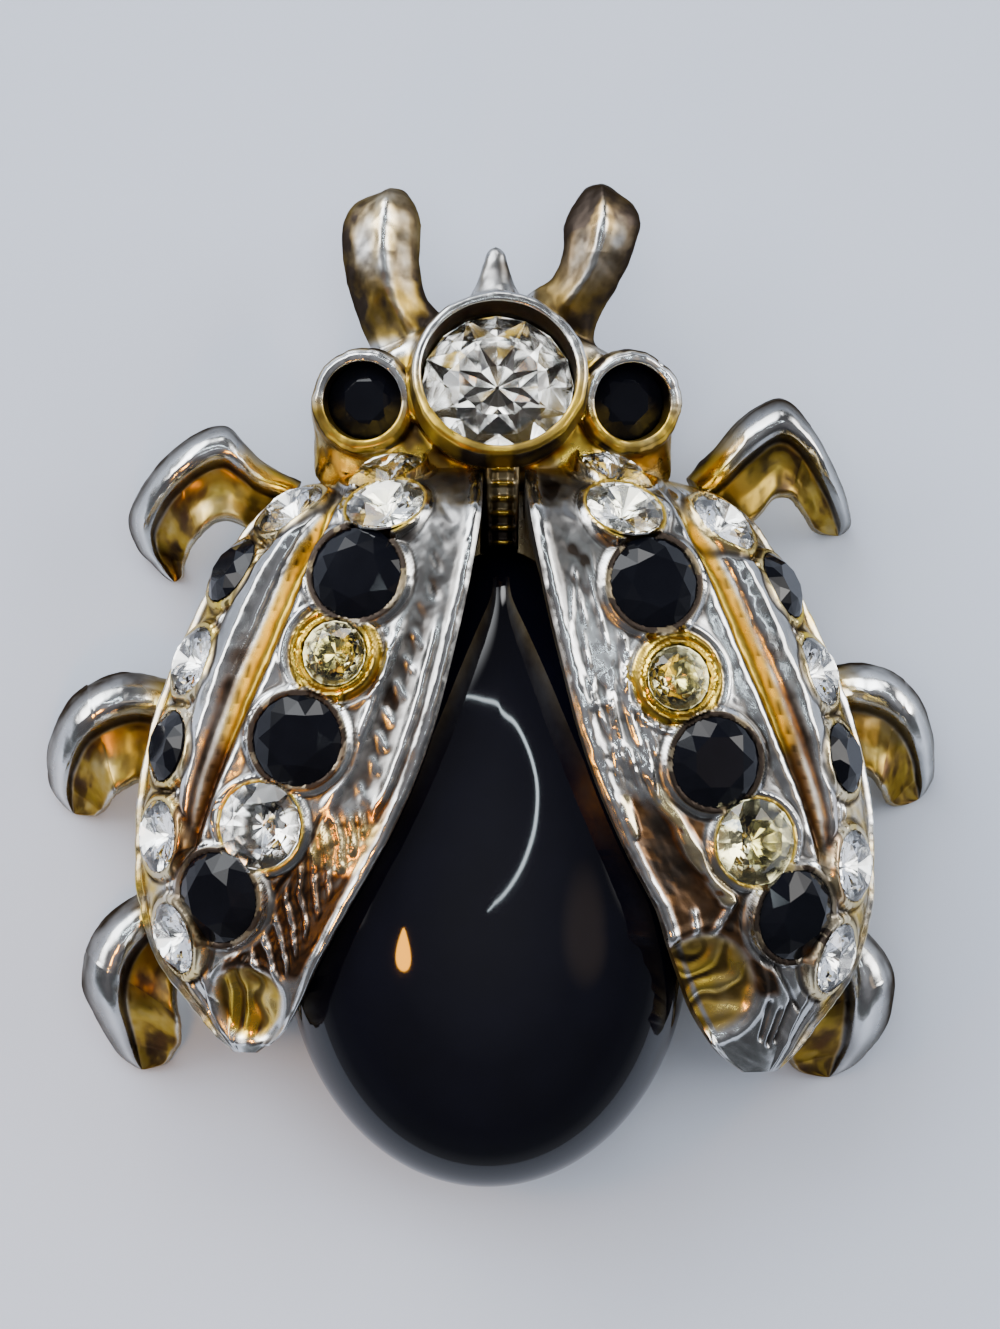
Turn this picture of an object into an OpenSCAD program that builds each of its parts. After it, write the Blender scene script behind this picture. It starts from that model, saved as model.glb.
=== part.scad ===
// Beetle brooch with splayed jewelled wing cases over a black cabochon.
// Millimetres. The brooch lies on its feet at z = 0, head towards +Y, back of the beetle up.

/* [Wing cases] */
// Length of the left wing case from its front wall to its tail tip
left_length = 19.5; // [19:0.1:20]
// Length of the right wing case from its front wall to its tail tip
right_length = 20.2; // [19.6:0.1:20.6]
// Reach of the left wing case from the seam line to its outer wall
left_reach = 12.0; // [11.6:0.1:12.6]
// Reach of the right wing case from the seam line to its outer wall
right_reach = 12.5; // [12:0.1:13]
// Height of the inner edge of a wing case above the resting surface
crown_height = 8.9; // [8.4:0.1:9.6]
// Thickness of the cast wall of a wing case
wing_wall = 1.25; // [1:0.05:1.5]
// Place of the front walls of the wing cases along Y
wing_front = 7.3; // [7:0.1:7.5]
// How much further the right wing tip reaches inwards, as a share of its reach
right_flare = 0.045; // [0:0.005:0.06]
// Sideways place of the seam between the wing cases
seam_x = 0.15; // [-0.2:0.05:0.4]
// How far the front corner of a wing case is swept back
front_sweep = 0.9; // [0.5:0.1:1.3]
// Height of the two thin lips along the broad band
lip_height = 0.16; // [0.08:0.02:0.25]
// Height of the leaf-shaped rib between the two rows of stones
rib_height = 0.42; // [0.2:0.02:0.6]
// Depth of the gold groove beside the rib
groove_depth = 0.34; // [0.15:0.02:0.5]
// Depth of the channel in which the stones sit
channel_depth = 0.18; // [0.1:0.02:0.3]
// Radius of the scooped hollow in a wing tip
scoop_radius = 1.15; // [0.8:0.05:1.3]

/* [Stones] */
// Width of a large black stone
black_size = 3.1; // [2.8:0.05:3.2]
// Width of the clear stone near the tail
clear_size = 2.8; // [2.5:0.05:2.85]
// Width of the two clear stones behind the head
front_size = 2.55; // [2.4:0.05:2.6]
// Width of the small tinted stone in its own cup
tinted_size = 2.05; // [1.8:0.05:2.2]
// Width of the stones in the outer row
side_size = 2.35; // [2:0.05:2.5]
// Width of the cup wall around the small tinted stone
cup_wall = 0.3; // [0.2:0.05:0.4]
// How far that cup stands up
cup_height = 0.3; // [0.15:0.05:0.45]
// Width of the head crystal
crystal_size = 4.95; // [4.6:0.05:5.1]
// Width of an eye stone
eye_size = 2.45; // [2.2:0.05:2.6]
// Gap between a stone and its seat
stone_gap = 0.06; // [0.04:0.01:0.1]

/* [Head] */
// Place of the middle of the head bezel along Y
head_y = 9.95; // [9.8:0.05:10.2]
// Height of the rim of the head bezel above the resting surface
head_rim_z = 7.3; // [6.9:0.1:7.6]
// Wall of the head bezel
head_wall = 0.36; // [0.25:0.01:0.45]
// How far the head bezel leans forward, degrees
head_lean = 16; // [8:1:20]
// Depth of the girdle of the head crystal below the rim
crystal_depth = 1.3; // [1:0.05:1.5]
// Half of the distance between the eyes
eye_spread = 4.45; // [4.3:0.05:4.7]
// How far the eyes sit behind the middle of the head bezel
eye_setback = 0.85; // [0.6:0.05:1.1]
// Height of the eye rims above the resting surface
eye_rim_z = 6.2; // [5.9:0.1:6.5]
// Wall of an eye bezel
eye_wall = 0.42; // [0.3:0.02:0.5]
// How far the eyes lean outwards, degrees
eye_lean = 10; // [0:1:15]
// Length of the horn in front of the head bezel
horn_length = 1.7; // [1.3:0.1:2]
// Height of the gold collar between the head and the wing cases
collar_z = 5.1; // [4.8:0.1:5.4]
// Half width of the shoulders
shoulder = 5.9; // [5.6:0.1:6.2]

/* [Antennae and legs] */
// Length of an antenna from the middle of the head
antenna_length = 6.85; // [6.4:0.05:7.3]
// Height of the top of an antenna
antenna_height = 5.4; // [5.1:0.1:5.8]
// Thickness of an antenna
antenna_thickness = 1.8; // [1.5:0.1:2.1]
// Size of a front leg
front_leg = 5.0; // [4.6:0.1:5.4]
// Size of a middle leg
middle_leg = 5.0; // [4.6:0.1:5.4]
// Size of a rear leg
rear_leg = 6.0; // [5.6:0.1:6.4]
// Height of the highest point of a leg
leg_height = 4.8; // [4.5:0.1:5.1]
// Thickness of a leg
leg_thickness = 1.9; // [1.6:0.1:2.1]

/* [Cabochon] */
// Greatest width of the cabochon
cabochon_width = 13.4; // [13:0.1:13.8]
// Length from the widest line to the tail
cabochon_tail = 8.25; // [7.9:0.05:8.5]
// Length from the widest line to the tip between the wing cases
cabochon_tip = 12.9; // [12.4:0.1:13.1]
// Height of the dome above its edge
cabochon_dome = 3.9; // [3.6:0.1:4.1]
// Height of the upright edge
cabochon_edge = 0.85; // [0.6:0.05:1]
// Sideways place of the cabochon
cabochon_x = -0.25; // [-0.35:0.05:0]
// Place of the widest line along Y
cabochon_y = -8.5; // [-8.8:0.1:-8.2]
// Gap between the cabochon and the metal around it
cabochon_gap = 0.1; // [0.06:0.01:0.15]

/* [Base and pin] */
// Height of the underside of the base plate above the resting surface
plate_bottom = 2.6; // [2.4:0.1:2.8]
// Thickness of the base plate
plate_thickness = 0.9; // [0.7:0.05:1]
// Gap between pieces that are set on one another
seat_gap = 0.05; // [0.03:0.01:0.08]
// Length of the pin back
pin_length = 17; // [15:0.5:18]
// Width of the pin back
pin_width = 2.4; // [2:0.1:2.8]
// Diameter of the pin stem
stem_d = 0.7; // [0.6:0.05:0.9]
// Place of the pin back along Y
pin_y = 1.6; // [1:0.1:2]

/* [Hidden] */
// Share of the wing case length over which its front wall stands
front_share = 0.2;
// Steps along a wing case, and across its plain underside
wing_steps = 27;
under_steps = 5;
// How much closer together the steps are at the front
front_crowding = 1.3;
// Share of the length over which the relief fades in and out at the ends
relief_fade = 0.05;
plate_top = plate_bottom + plate_thickness;
rim_z = plate_top + seat_gap;
crown_rise = crown_height - rim_z;

// Sections of a wing case. Along is a share of its length; inner and outer edge are shares of
// its reach; top and side are shares of the rise from the rim to the crown.
// Columns: along, inner edge, outer edge, top, side
WING_SECTIONS = [
    [0.000, 0.075, 0.560, 0.00, 0.00],
    [0.012, 0.066, 0.590, 0.25, 0.00],
    [0.030, 0.060, 0.620, 0.46, 0.00],
    [0.060, 0.058, 0.665, 0.70, 0.00],
    [0.100, 0.064, 0.705, 0.88, 0.00],
    [0.160, 0.080, 0.755, 0.96, 0.00],
    [0.250, 0.108, 0.828, 0.99, 0.00],
    [0.350, 0.146, 0.900, 1.00, 0.00],
    [0.450, 0.188, 0.955, 0.99, 0.00],
    [0.550, 0.245, 0.990, 0.96, 0.00],
    [0.650, 0.320, 1.000, 0.92, 0.00],
    [0.750, 0.412, 0.990, 0.85, 0.01],
    [0.850, 0.500, 0.935, 0.75, 0.05],
    [0.930, 0.560, 0.835, 0.60, 0.12],
    [0.970, 0.605, 0.785, 0.50, 0.18],
    [1.000, 0.665, 0.735, 0.40, 0.25],
];
// How the inner edge of a flared tip widens. Columns: along, share of the flare
TIP_FLARE = [[0, 0], [0.72, 0], [0.80, 0.6], [0.88, 1], [0.94, 0.8], [1, 0.7]];

// Lines of the relief on a wing case, across from the inner edge, 0, to the outer edge, 1.
// Columns: along, outer border of the band, groove, outer foot of the rib, strength of the rib
WING_LINES = [
    [0.00, 0.150, 0.440, 0.520, 0.0],
    [0.07, 0.152, 0.445, 0.540, 0.3],
    [0.13, 0.155, 0.450, 0.600, 0.9],
    [0.22, 0.160, 0.455, 0.665, 1.0],
    [0.32, 0.170, 0.462, 0.680, 1.0],
    [0.45, 0.182, 0.485, 0.660, 1.0],
    [0.58, 0.195, 0.525, 0.630, 0.8],
    [0.68, 0.215, 0.550, 0.620, 0.1],
    [0.82, 0.235, 0.560, 0.630, 0.0],
    [1.00, 0.250, 0.570, 0.640, 0.0],
];

// Stones of the inner and the outer row of each wing case, from head to tail.
// Columns: along, across, extra outward lean and turn in degrees, height above the face
LEFT_INNER = [
    [0.021, 0.310, -2, -11, 0.14], [0.084, 0.270, 0, 0, 0.05], [0.206, 0.284, 0, 0, 0],
    [0.336, 0.277, 0, 0, 0], [0.479, 0.303, 0, 0, 0], [0.619, 0.341, 3, 0, 0],
    [0.738, 0.425, 8, 0, 0],
];
RIGHT_INNER = [
    [0.021, 0.295, -2, -15, 0.14], [0.087, 0.258, 0, 0, 0.05], [0.213, 0.264, 0, 0, 0],
    [0.363, 0.251, 0, 0, 0], [0.497, 0.280, 0, 0, 0], [0.624, 0.331, 3, 0, 0],
    [0.742, 0.412, 8, 0, 0],
];
LEFT_OUTER = [
    [0.066, 0.643, 0, 0, 0], [0.189, 0.778, 0, 0, 0], [0.344, 0.768, 4, 0, 0],
    [0.487, 0.749, 8, 0, 0], [0.638, 0.726, 8, 0, 0], [0.808, 0.655, 12, 0, 0],
];
RIGHT_OUTER = [
    [0.090, 0.615, 0, 0, 0], [0.207, 0.758, 4, 0, 0], [0.348, 0.749, 4, 0, 0],
    [0.489, 0.733, 8, 0, 0], [0.665, 0.707, 8, 0, 0], [0.815, 0.640, 12, 0, 0],
];
// Widths and kinds of the stones in each row, from head to tail
INNER_SIZES = [
    front_size, front_size, black_size, tinted_size, black_size, clear_size, black_size
];
INNER_KINDS = ["clear", "clear", "black", "tinted", "black", "clear", "black"];
OUTER_SIZES = [for (i = [1 : 6]) side_size];
OUTER_KINDS = ["clear", "black", "clear", "black", "clear", "clear"];
tinted_place = 3;
// Depth of the collar around the foremost stone as a share of wing_wall
collar_share = 0.55;
// Place of the hollow in each wing tip, in the same columns
LEFT_SCOOP = [0.925, 0.32, 0, 0, 0];
RIGHT_SCOOP = [0.865, 0.17, 0, 0, 0];

// Rails of the legs, as shares of the leg size, from the point of the wing rim above the root.
// Columns: outer rail outwards, outer rail forwards, inner rail outwards, inner rail forwards,
// height of the crest as a share of leg_height
FRONT_LEFT = [
    [-0.30, 0.28, -0.14, -0.06, 0.72],
    [-0.06, 0.40,  0.03, -0.05, 0.88],
    [ 0.08, 0.53,  0.12, -0.02, 0.96],
    [ 0.22, 0.64,  0.23,  0.00, 1.00],
    [ 0.47, 0.54,  0.33, -0.06, 1.00],
    [ 0.70, 0.33,  0.42, -0.15, 0.88],
    [ 0.86, 0.06,  0.46, -0.21, 0.67],
    [ 0.82, -0.15, 0.50, -0.26, 0.38],
    [ 0.72, -0.26, 0.51, -0.32, 0.21],
    [ 0.63, -0.37, 0.51, -0.38, 0.12],
];
FRONT_RIGHT = [
    [-0.34, 0.27, -0.10, -0.11, 0.72],
    [-0.19, 0.43,  0.01, -0.09, 0.88],
    [ 0.00, 0.65,  0.12, -0.02, 0.96],
    [ 0.27, 0.78,  0.23,  0.11, 1.00],
    [ 0.48, 0.60,  0.34,  0.11, 0.96],
    [ 0.62, 0.38,  0.40,  0.06, 0.88],
    [ 0.74, 0.19,  0.48,  0.00, 0.67],
    [ 0.83, 0.01,  0.58, -0.07, 0.38],
    [ 0.82, -0.09, 0.67, -0.11, 0.14],
];
MIDDLE_LEFT = [
    [-0.20, 0.26, -0.20, -0.34, 0.66],
    [-0.06, 0.32, -0.03, -0.39, 0.74],
    [ 0.13, 0.36,  0.10, -0.38, 0.80],
    [ 0.28, 0.35,  0.19, -0.42, 0.84],
    [ 0.46, 0.27,  0.26, -0.46, 0.84],
    [ 0.62, 0.12,  0.30, -0.50, 0.76],
    [ 0.74, -0.14, 0.34, -0.55, 0.58],
    [ 0.75, -0.38, 0.40, -0.60, 0.33],
    [ 0.67, -0.56, 0.48, -0.64, 0.14],
];
MIDDLE_RIGHT = [
    [-0.20, 0.27, -0.18, -0.32, 0.66],
    [-0.03, 0.33,  0.04, -0.35, 0.74],
    [ 0.15, 0.34,  0.15, -0.40, 0.80],
    [ 0.32, 0.29,  0.21, -0.45, 0.84],
    [ 0.50, 0.14,  0.26, -0.52, 0.80],
    [ 0.63, -0.09, 0.31, -0.57, 0.62],
    [ 0.69, -0.33, 0.38, -0.62, 0.38],
    [ 0.67, -0.53, 0.49, -0.65, 0.14],
];
REAR_LEFT = [
    [-0.20, 0.26, -0.26, -0.12, 0.66],
    [-0.02, 0.24, -0.18, -0.22, 0.74],
    [ 0.13, 0.16, -0.15, -0.32, 0.80],
    [ 0.27, 0.04, -0.15, -0.40, 0.84],
    [ 0.36, -0.12, -0.16, -0.48, 0.84],
    [ 0.38, -0.32, -0.17, -0.57, 0.75],
    [ 0.32, -0.51, -0.15, -0.66, 0.54],
    [ 0.23, -0.69, -0.09, -0.76, 0.29],
    [ 0.12, -0.81, 0.00, -0.82, 0.13],
];
REAR_RIGHT = [
    [-0.26, 0.28, -0.34, -0.12, 0.66],
    [-0.12, 0.23, -0.27, -0.23, 0.74],
    [ 0.00, 0.13, -0.31, -0.34, 0.80],
    [ 0.13, 0.00, -0.36, -0.42, 0.84],
    [ 0.21, -0.15, -0.41, -0.50, 0.84],
    [ 0.22, -0.31, -0.41, -0.57, 0.75],
    [ 0.19, -0.51, -0.36, -0.65, 0.54],
    [ 0.09, -0.67, -0.29, -0.73, 0.29],
    [-0.03, -0.77, -0.18, -0.79, 0.13],
];
// Places of the leg roots along the wing rim, as shares of its length
LEFT_ROOTS = [0.07, 0.45, 0.80];
RIGHT_ROOTS = [0.05, 0.414, 0.80];

// Rails of the antennae as shares of antenna_length, from the middle of the head.
// Columns: inner rail outwards, inner rail forwards, outer rail outwards, outer rail forwards,
// height of the crest as a share of antenna_height
LEFT_ANTENNA = [
    [0.19, 0.23, 0.56, 0.08, 0.85],
    [0.28, 0.36, 0.62, 0.19, 0.93],
    [0.33, 0.41, 0.69, 0.36, 0.96],
    [0.36, 0.52, 0.74, 0.54, 0.98],
    [0.36, 0.67, 0.75, 0.69, 1.00],
    [0.36, 0.79, 0.74, 0.78, 1.00],
    [0.39, 0.88, 0.70, 0.86, 0.96],
    [0.43, 0.94, 0.62, 0.91, 0.90],
    [0.47, 0.97, 0.54, 0.95, 0.80],
];
RIGHT_ANTENNA = [
    [0.12, 0.42, 0.50, 0.14, 0.85],
    [0.20, 0.47, 0.50, 0.27, 0.93],
    [0.26, 0.50, 0.56, 0.40, 0.96],
    [0.31, 0.57, 0.63, 0.52, 0.98],
    [0.33, 0.66, 0.68, 0.65, 1.00],
    [0.33, 0.76, 0.72, 0.78, 1.00],
    [0.37, 0.86, 0.69, 0.87, 0.96],
    [0.43, 0.95, 0.62, 0.93, 0.90],
    [0.49, 1.00, 0.57, 1.00, 0.80],
];

// Cross section of a leg from its outer rail to its inner rail and back underneath: a rounded
// outer ridge, then a step down to a broad hollow face. Columns: across, height
LEG_SECTION = [
    [0.00, 0.30], [0.05, 0.62], [0.14, 0.90], [0.27, 1.00], [0.38, 0.88], [0.47, 0.52],
    [0.70, 0.42], [0.93, 0.52], [1.00, 0.36], [0.96, 0.08], [0.50, 0.00], [0.08, 0.06],
];
// Cross section of an antenna with a ridge along its middle. Columns: across, height
ANTENNA_SECTION = [
    [0.00, 0.35], [0.10, 0.62], [0.32, 0.82], [0.48, 1.00], [0.62, 0.84], [0.88, 0.62],
    [1.00, 0.35], [0.88, 0.06], [0.50, 0.00], [0.12, 0.06],
];

// Proportions of a cut stone as shares of its radius
table_share = 0.56;
star_share = 0.80;
crown_share = 0.32;
star_height_share = 0.19;
girdle_share = 0.04;
pavilion_share = 0.56;
facet_count = 8;

// Form of the cabochon
cabochon_sides = 36;
dome_steps = 8;
tip_taper = 1.3;
tip_drift = 0.45;
apex_forward = 1.0;

function column(table, i) = [for (row = table) row[i]];
function slope_at(xs, ys, i) =
    let (a = max(i - 1, 0), b = min(i + 1, len(xs) - 1))
    (ys[b] - ys[a]) / (xs[b] - xs[a]);
function span_of(xs, x, i = 0) =
    (i >= len(xs) - 2 || x < xs[i + 1]) ? i : span_of(xs, x, i + 1);
// Smooth curve through the points of two columns
function curve(xs, ys, x) =
    let (
        i = span_of(xs, x),
        h = xs[i + 1] - xs[i],
        t = (x - xs[i]) / h
    )
    ys[i] * (1 + 2 * t) * pow(1 - t, 2) + slope_at(xs, ys, i) * h * t * pow(1 - t, 2)
    + ys[i + 1] * t * t * (3 - 2 * t) + slope_at(xs, ys, i + 1) * h * t * t * (t - 1);

SECTION_ALONG = column(WING_SECTIONS, 0);
SECTION_INNER = column(WING_SECTIONS, 1);
SECTION_OUTER = column(WING_SECTIONS, 2);
SECTION_TOP = column(WING_SECTIONS, 3);
SECTION_SIDE = column(WING_SECTIONS, 4);
LINE_ALONG = column(WING_LINES, 0);

FLARE_ALONG = column(TIP_FLARE, 0);
FLARE_SHARE = column(TIP_FLARE, 1);
// A wing case as its reach, its length and the flare of its tip
LEFT_WING = [left_reach, left_length, 0];
RIGHT_WING = [right_reach, right_length, right_flare];

function inner_edge(wing, v) =
    wing[0] * (curve(SECTION_ALONG, SECTION_INNER, v)
        - wing[2] * curve(FLARE_ALONG, FLARE_SHARE, v));
function outer_edge(wing, v) = wing[0] * curve(SECTION_ALONG, SECTION_OUTER, v);
function top_rise(v) = crown_rise * curve(SECTION_ALONG, SECTION_TOP, v);
function side_rise(v) = crown_rise * curve(SECTION_ALONG, SECTION_SIDE, v);
function front_part(v) = max(0, 1 - v / front_share);

// Point of the smooth outer face of a wing case; v runs from the front wall to the tip,
// u from the inner edge to the outer edge
function wing_point(wing, v, u) =
    let (
        a = inner_edge(wing, v),
        b = outer_edge(wing, v),
        side = side_rise(v),
        across = sin(90 * u)
    )
    [
        a + (b - a) * across,
        -wing[1] * v - front_sweep * front_part(v) * across * across,
        rim_z + side + (top_rise(v) - side) * cos(90 * u)
    ];
// Point of its plain underside
function wing_under(wing, v, u) =
    let (
        a = inner_edge(wing, v),
        b = outer_edge(wing, v),
        wall = min(wing_wall, 0.4 * (b - a)),
        side = side_rise(v),
        across = sin(90 * u)
    )
    [
        a + (b - wall - a) * across,
        -wing[1] * v - front_part(v) * (wall + front_sweep * across * across),
        rim_z + side + max(0, top_rise(v) - wall - side) * cos(90 * u)
    ];
small_step = 0.002;
function wing_normal(wing, v, u) =
    let (
        back = wing_point(wing, min(v + small_step, 1), u)
            - wing_point(wing, max(v - small_step, 0), u),
        out = wing_point(wing, v, min(u + small_step, 1))
            - wing_point(wing, v, max(u - small_step, 0)),
        n = cross(back, out)
    )
    n / norm(n);

function relief_strength(v) = min(1, v / relief_fade, (1 - v) / relief_fade);
// Relief across a wing case at one station: place across and height above the smooth face
function relief(v) =
    let (
        band = curve(LINE_ALONG, column(WING_LINES, 1), v),
        groove = curve(LINE_ALONG, column(WING_LINES, 2), v),
        foot = curve(LINE_ALONG, column(WING_LINES, 3), v),
        rib = max(0, curve(LINE_ALONG, column(WING_LINES, 4), v)),
        lip = lip_height,
        low = -channel_depth
    )
    [
        [0.000, 0],
        [0.020, lip],
        [0.045, 0],
        [band / 2, -0.25 * lip],
        [band - 0.035, 0],
        [band - 0.012, lip],
        [band + 0.012, 0.7 * lip],
        [band + 0.030, low],
        [(band + groove) / 2, low],
        [groove - 0.060, low],
        [groove - 0.035, 0.6 * lip * rib],
        [groove - 0.012, 0.2 * low],
        [groove + 0.008, -groove_depth * rib],
        [groove + 0.3 * (foot - groove), 0.35 * rib_height * rib],
        [groove + 0.6 * (foot - groove), rib_height * rib],
        [groove + 0.85 * (foot - groove), 0.55 * rib_height * rib],
        [foot, 0],
        [foot + 0.030, 0.6 * low],
        [0.930, 0.6 * low],
        [0.965, 0],
        [1.000, 0],
    ];

// Closed solid between a grid of upper points and a coarser grid of lower points
module grid_solid(upper, lower) {
    rows = len(upper);
    m = len(upper[0]);
    k = len(lower[0]);
    base = rows * m;
    under = [for (j = [0 : m - 1]) floor(j * (k - 1) / (m - 1) + 0.5)];
    points = concat([for (row = upper) each row], [for (row = lower) each row]);
    top = [
        for (i = [0 : rows - 2])
            for (j = [0 : m - 2])
                [i * m + j, i * m + j + 1, (i + 1) * m + j + 1, (i + 1) * m + j]
    ];
    bottom = [
        for (i = [0 : rows - 2])
            for (j = [0 : k - 2])
                [
                    base + (i + 1) * k + j, base + (i + 1) * k + j + 1,
                    base + i * k + j + 1, base + i * k + j
                ]
    ];
    inner = [
        for (i = [0 : rows - 2])
            [i * m, (i + 1) * m, base + (i + 1) * k, base + i * k]
    ];
    outer = [
        for (i = [0 : rows - 2])
            [
                (i + 2) * m - 1, (i + 1) * m - 1,
                base + (i + 1) * k - 1, base + (i + 2) * k - 1
            ]
    ];
    front = [
        for (j = [0 : m - 2]) each concat(
            [[j + 1, j, base + under[j]]],
            under[j + 1] > under[j] ? [[j + 1, base + under[j], base + under[j + 1]]] : []
        )
    ];
    last = (rows - 1) * m;
    last_under = base + (rows - 1) * k;
    back = [
        for (j = [0 : m - 2]) each concat(
            [[last + j, last + j + 1, last_under + under[j + 1]]],
            under[j + 1] > under[j]
                ? [[last + j, last_under + under[j + 1], last_under + under[j]]] : []
        )
    ];
    polyhedron(points, concat(top, bottom, inner, outer, front, back), convexity = 6);
}

module wing_blank(wing) {
    stations = [for (i = [0 : wing_steps]) pow(i / wing_steps, front_crowding)];
    upper = [
        for (v = stations) [
            for (c = relief(v))
                wing_point(wing, v, c[0])
                + wing_normal(wing, v, c[0]) * c[1] * relief_strength(v)
        ]
    ];
    lower = [
        for (v = stations) [
            for (k = [0 : under_steps]) wing_under(wing, v, k / under_steps)
        ]
    ];
    grid_solid(upper, lower);
}

// Space that a wing case takes above the base plate, grown by a gap on its outside
module wing_room(wing, gap) {
    room_steps = 16;
    room_columns = 8;
    stations = [for (i = [0 : room_steps]) pow(i / room_steps, front_crowding)];
    upper = [
        for (v = stations) [
            for (k = [0 : room_columns])
                wing_point(wing, v, k / room_columns)
                + wing_normal(wing, v, k / room_columns) * (gap + 0.2 * lip_height)
                + [k == 0 ? -gap : 0, 0, 0]
        ]
    ];
    lower = [for (row = upper) [for (p = row) [p[0], p[1], plate_top + seat_gap / 2]]];
    grid_solid(upper, lower);
}

// Puts children on a wing case with their own Z along its outward normal
module on_wing(wing, place) {
    n = wing_normal(wing, place[0], place[1]);
    translate(wing_point(wing, place[0], place[1]) + n * place[4])
        rotate([0, acos(n[2]) + place[2], atan2(n[1], n[0]) + place[3]])
            children();
}
module left_side() {
    translate([seam_x, wing_front, 0]) mirror([1, 0, 0]) children();
}
module right_side() {
    translate([seam_x, wing_front, 0]) children();
}

// Round cut stone with its girdle at z = 0: table, star facets, kites, girdle facets and
// a pointed pavilion
module cut_stone(size) {
    r = size / 2;
    n = facet_count;
    step = 360 / n;
    function ring(radius, z, count, turn) = [
        for (i = [0 : count - 1])
            [radius * cos(360 * i / count + turn), radius * sin(360 * i / count + turn), z]
    ];
    table = ring(r * table_share, r * crown_share, n, step / 2);
    star = ring(r * star_share, r * star_height_share, n, 0);
    upper = ring(r, r * girdle_share, 2 * n, 0);
    lower = ring(r, -r * girdle_share, 2 * n, 0);
    points = concat(table, star, upper, lower, [[0, 0, -r * pavilion_share]]);
    s = n;
    u = 2 * n;
    l = 4 * n;
    faces = concat(
        [[for (i = [n - 1 : -1 : 0]) i]],
        [for (i = [0 : n - 1]) [i, s + i, (i + n - 1) % n]],
        [for (i = [0 : n - 1]) each [
            [i, u + 2 * i + 1, s + i],
            [i, s + (i + 1) % n, u + 2 * i + 1],
            [s + i, u + 2 * i + 1, u + 2 * i],
            [s + i, u + 2 * i, u + (2 * i + 2 * n - 1) % (2 * n)]
        ]],
        [for (i = [0 : 2 * n - 1])
            [u + i, u + (i + 1) % (2 * n), l + (i + 1) % (2 * n), l + i]],
        [for (i = [0 : 2 * n - 1]) [l + i, l + (i + 1) % (2 * n), l + 2 * n]]
    );
    polyhedron(points, faces);
}
// Tapered seat of a stone, open upwards
module stone_seat(size, rise) {
    r = size / 2 + stone_gap;
    hull() {
        translate([0, 0, -r * girdle_share - stone_gap])
            cylinder(r = r, h = rise, $fn = 20);
        translate([0, 0, -r * pavilion_share - 2 * stone_gap])
            cylinder(r = r / 4, h = stone_gap, $fn = 8);
    }
}

module wing_case(wing, inner_row, outer_row, scoop) {
    cup_r = tinted_size / 2 + stone_gap + cup_wall;
    difference() {
        union() {
            wing_blank(wing);
            on_wing(wing, inner_row[0])
                translate([0, 0, -collar_share * wing_wall])
                    cylinder(r = front_size / 2 + cup_wall, h = collar_share * wing_wall, $fn = 20);
            on_wing(wing, inner_row[tinted_place])
                translate([0, 0, -wing_wall / 2])
                    hull() {
                        cylinder(r = cup_r + cup_wall, h = wing_wall / 2, $fn = 20);
                        cylinder(r = cup_r, h = wing_wall / 2 + cup_height, $fn = 20);
                    }
        }
        for (i = [0 : len(inner_row) - 1])
            on_wing(wing, inner_row[i])
                stone_seat(INNER_SIZES[i], 2 * rib_height + cup_height);
        for (i = [0 : len(outer_row) - 1])
            on_wing(wing, outer_row[i])
                stone_seat(OUTER_SIZES[i], 3 * rib_height);
        on_wing(wing, scoop)
            hull() {
                translate([0, 0, -scoop_radius / 2])
                    cylinder(r1 = scoop_radius / 2, r2 = 0.8 * scoop_radius, h = 0.3, $fn = 14);
                cylinder(r = scoop_radius, h = scoop_radius, $fn = 14);
            }
    }
}
// Small block at the end of the right wing tip
module tip_block() {
    top_z = 5.2;
    side = inner_edge(RIGHT_WING, 0.96);
    right_side() translate([side, -right_length, rim_z])
        hull() {
            translate([0.2, 0, 0]) cube([1.3, 1, top_z - rim_z - 0.3]);
            translate([0, 0.35, 0]) cube([1.5, 0.9, top_z - rim_z]);
        }
}
module left_wing_case() {
    color("silver") union() difference() {
        left_side() wing_case(LEFT_WING, LEFT_INNER, LEFT_OUTER, LEFT_SCOOP);
        cabochon_form(cabochon_gap);
        head_cup(seat_gap);
    }
}
module right_wing_case() {
    color("silver") union() difference() {
        union() {
            right_side() wing_case(RIGHT_WING, RIGHT_INNER, RIGHT_OUTER, RIGHT_SCOOP);
            tip_block();
        }
        cabochon_form(cabochon_gap);
        head_cup(seat_gap);
    }
}
function stone_color(kind) =
    kind == "black" ? [0.06, 0.06, 0.07] : (kind == "tinted" ? [0.95, 0.9, 0.6] : [0.9, 0.95, 1]);
module wing_stone(size, kind) {
    color(stone_color(kind)) cut_stone(size);
}
module left_inner_stone(i) {
    left_side() on_wing(LEFT_WING, LEFT_INNER[i]) wing_stone(INNER_SIZES[i], INNER_KINDS[i]);
}
module right_inner_stone(i) {
    right_side() on_wing(RIGHT_WING, RIGHT_INNER[i]) wing_stone(INNER_SIZES[i], INNER_KINDS[i]);
}
module left_outer_stone(i) {
    left_side() on_wing(LEFT_WING, LEFT_OUTER[i]) wing_stone(OUTER_SIZES[i], OUTER_KINDS[i]);
}
module right_outer_stone(i) {
    right_side() on_wing(RIGHT_WING, RIGHT_OUTER[i]) wing_stone(OUTER_SIZES[i], OUTER_KINDS[i]);
}

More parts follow.
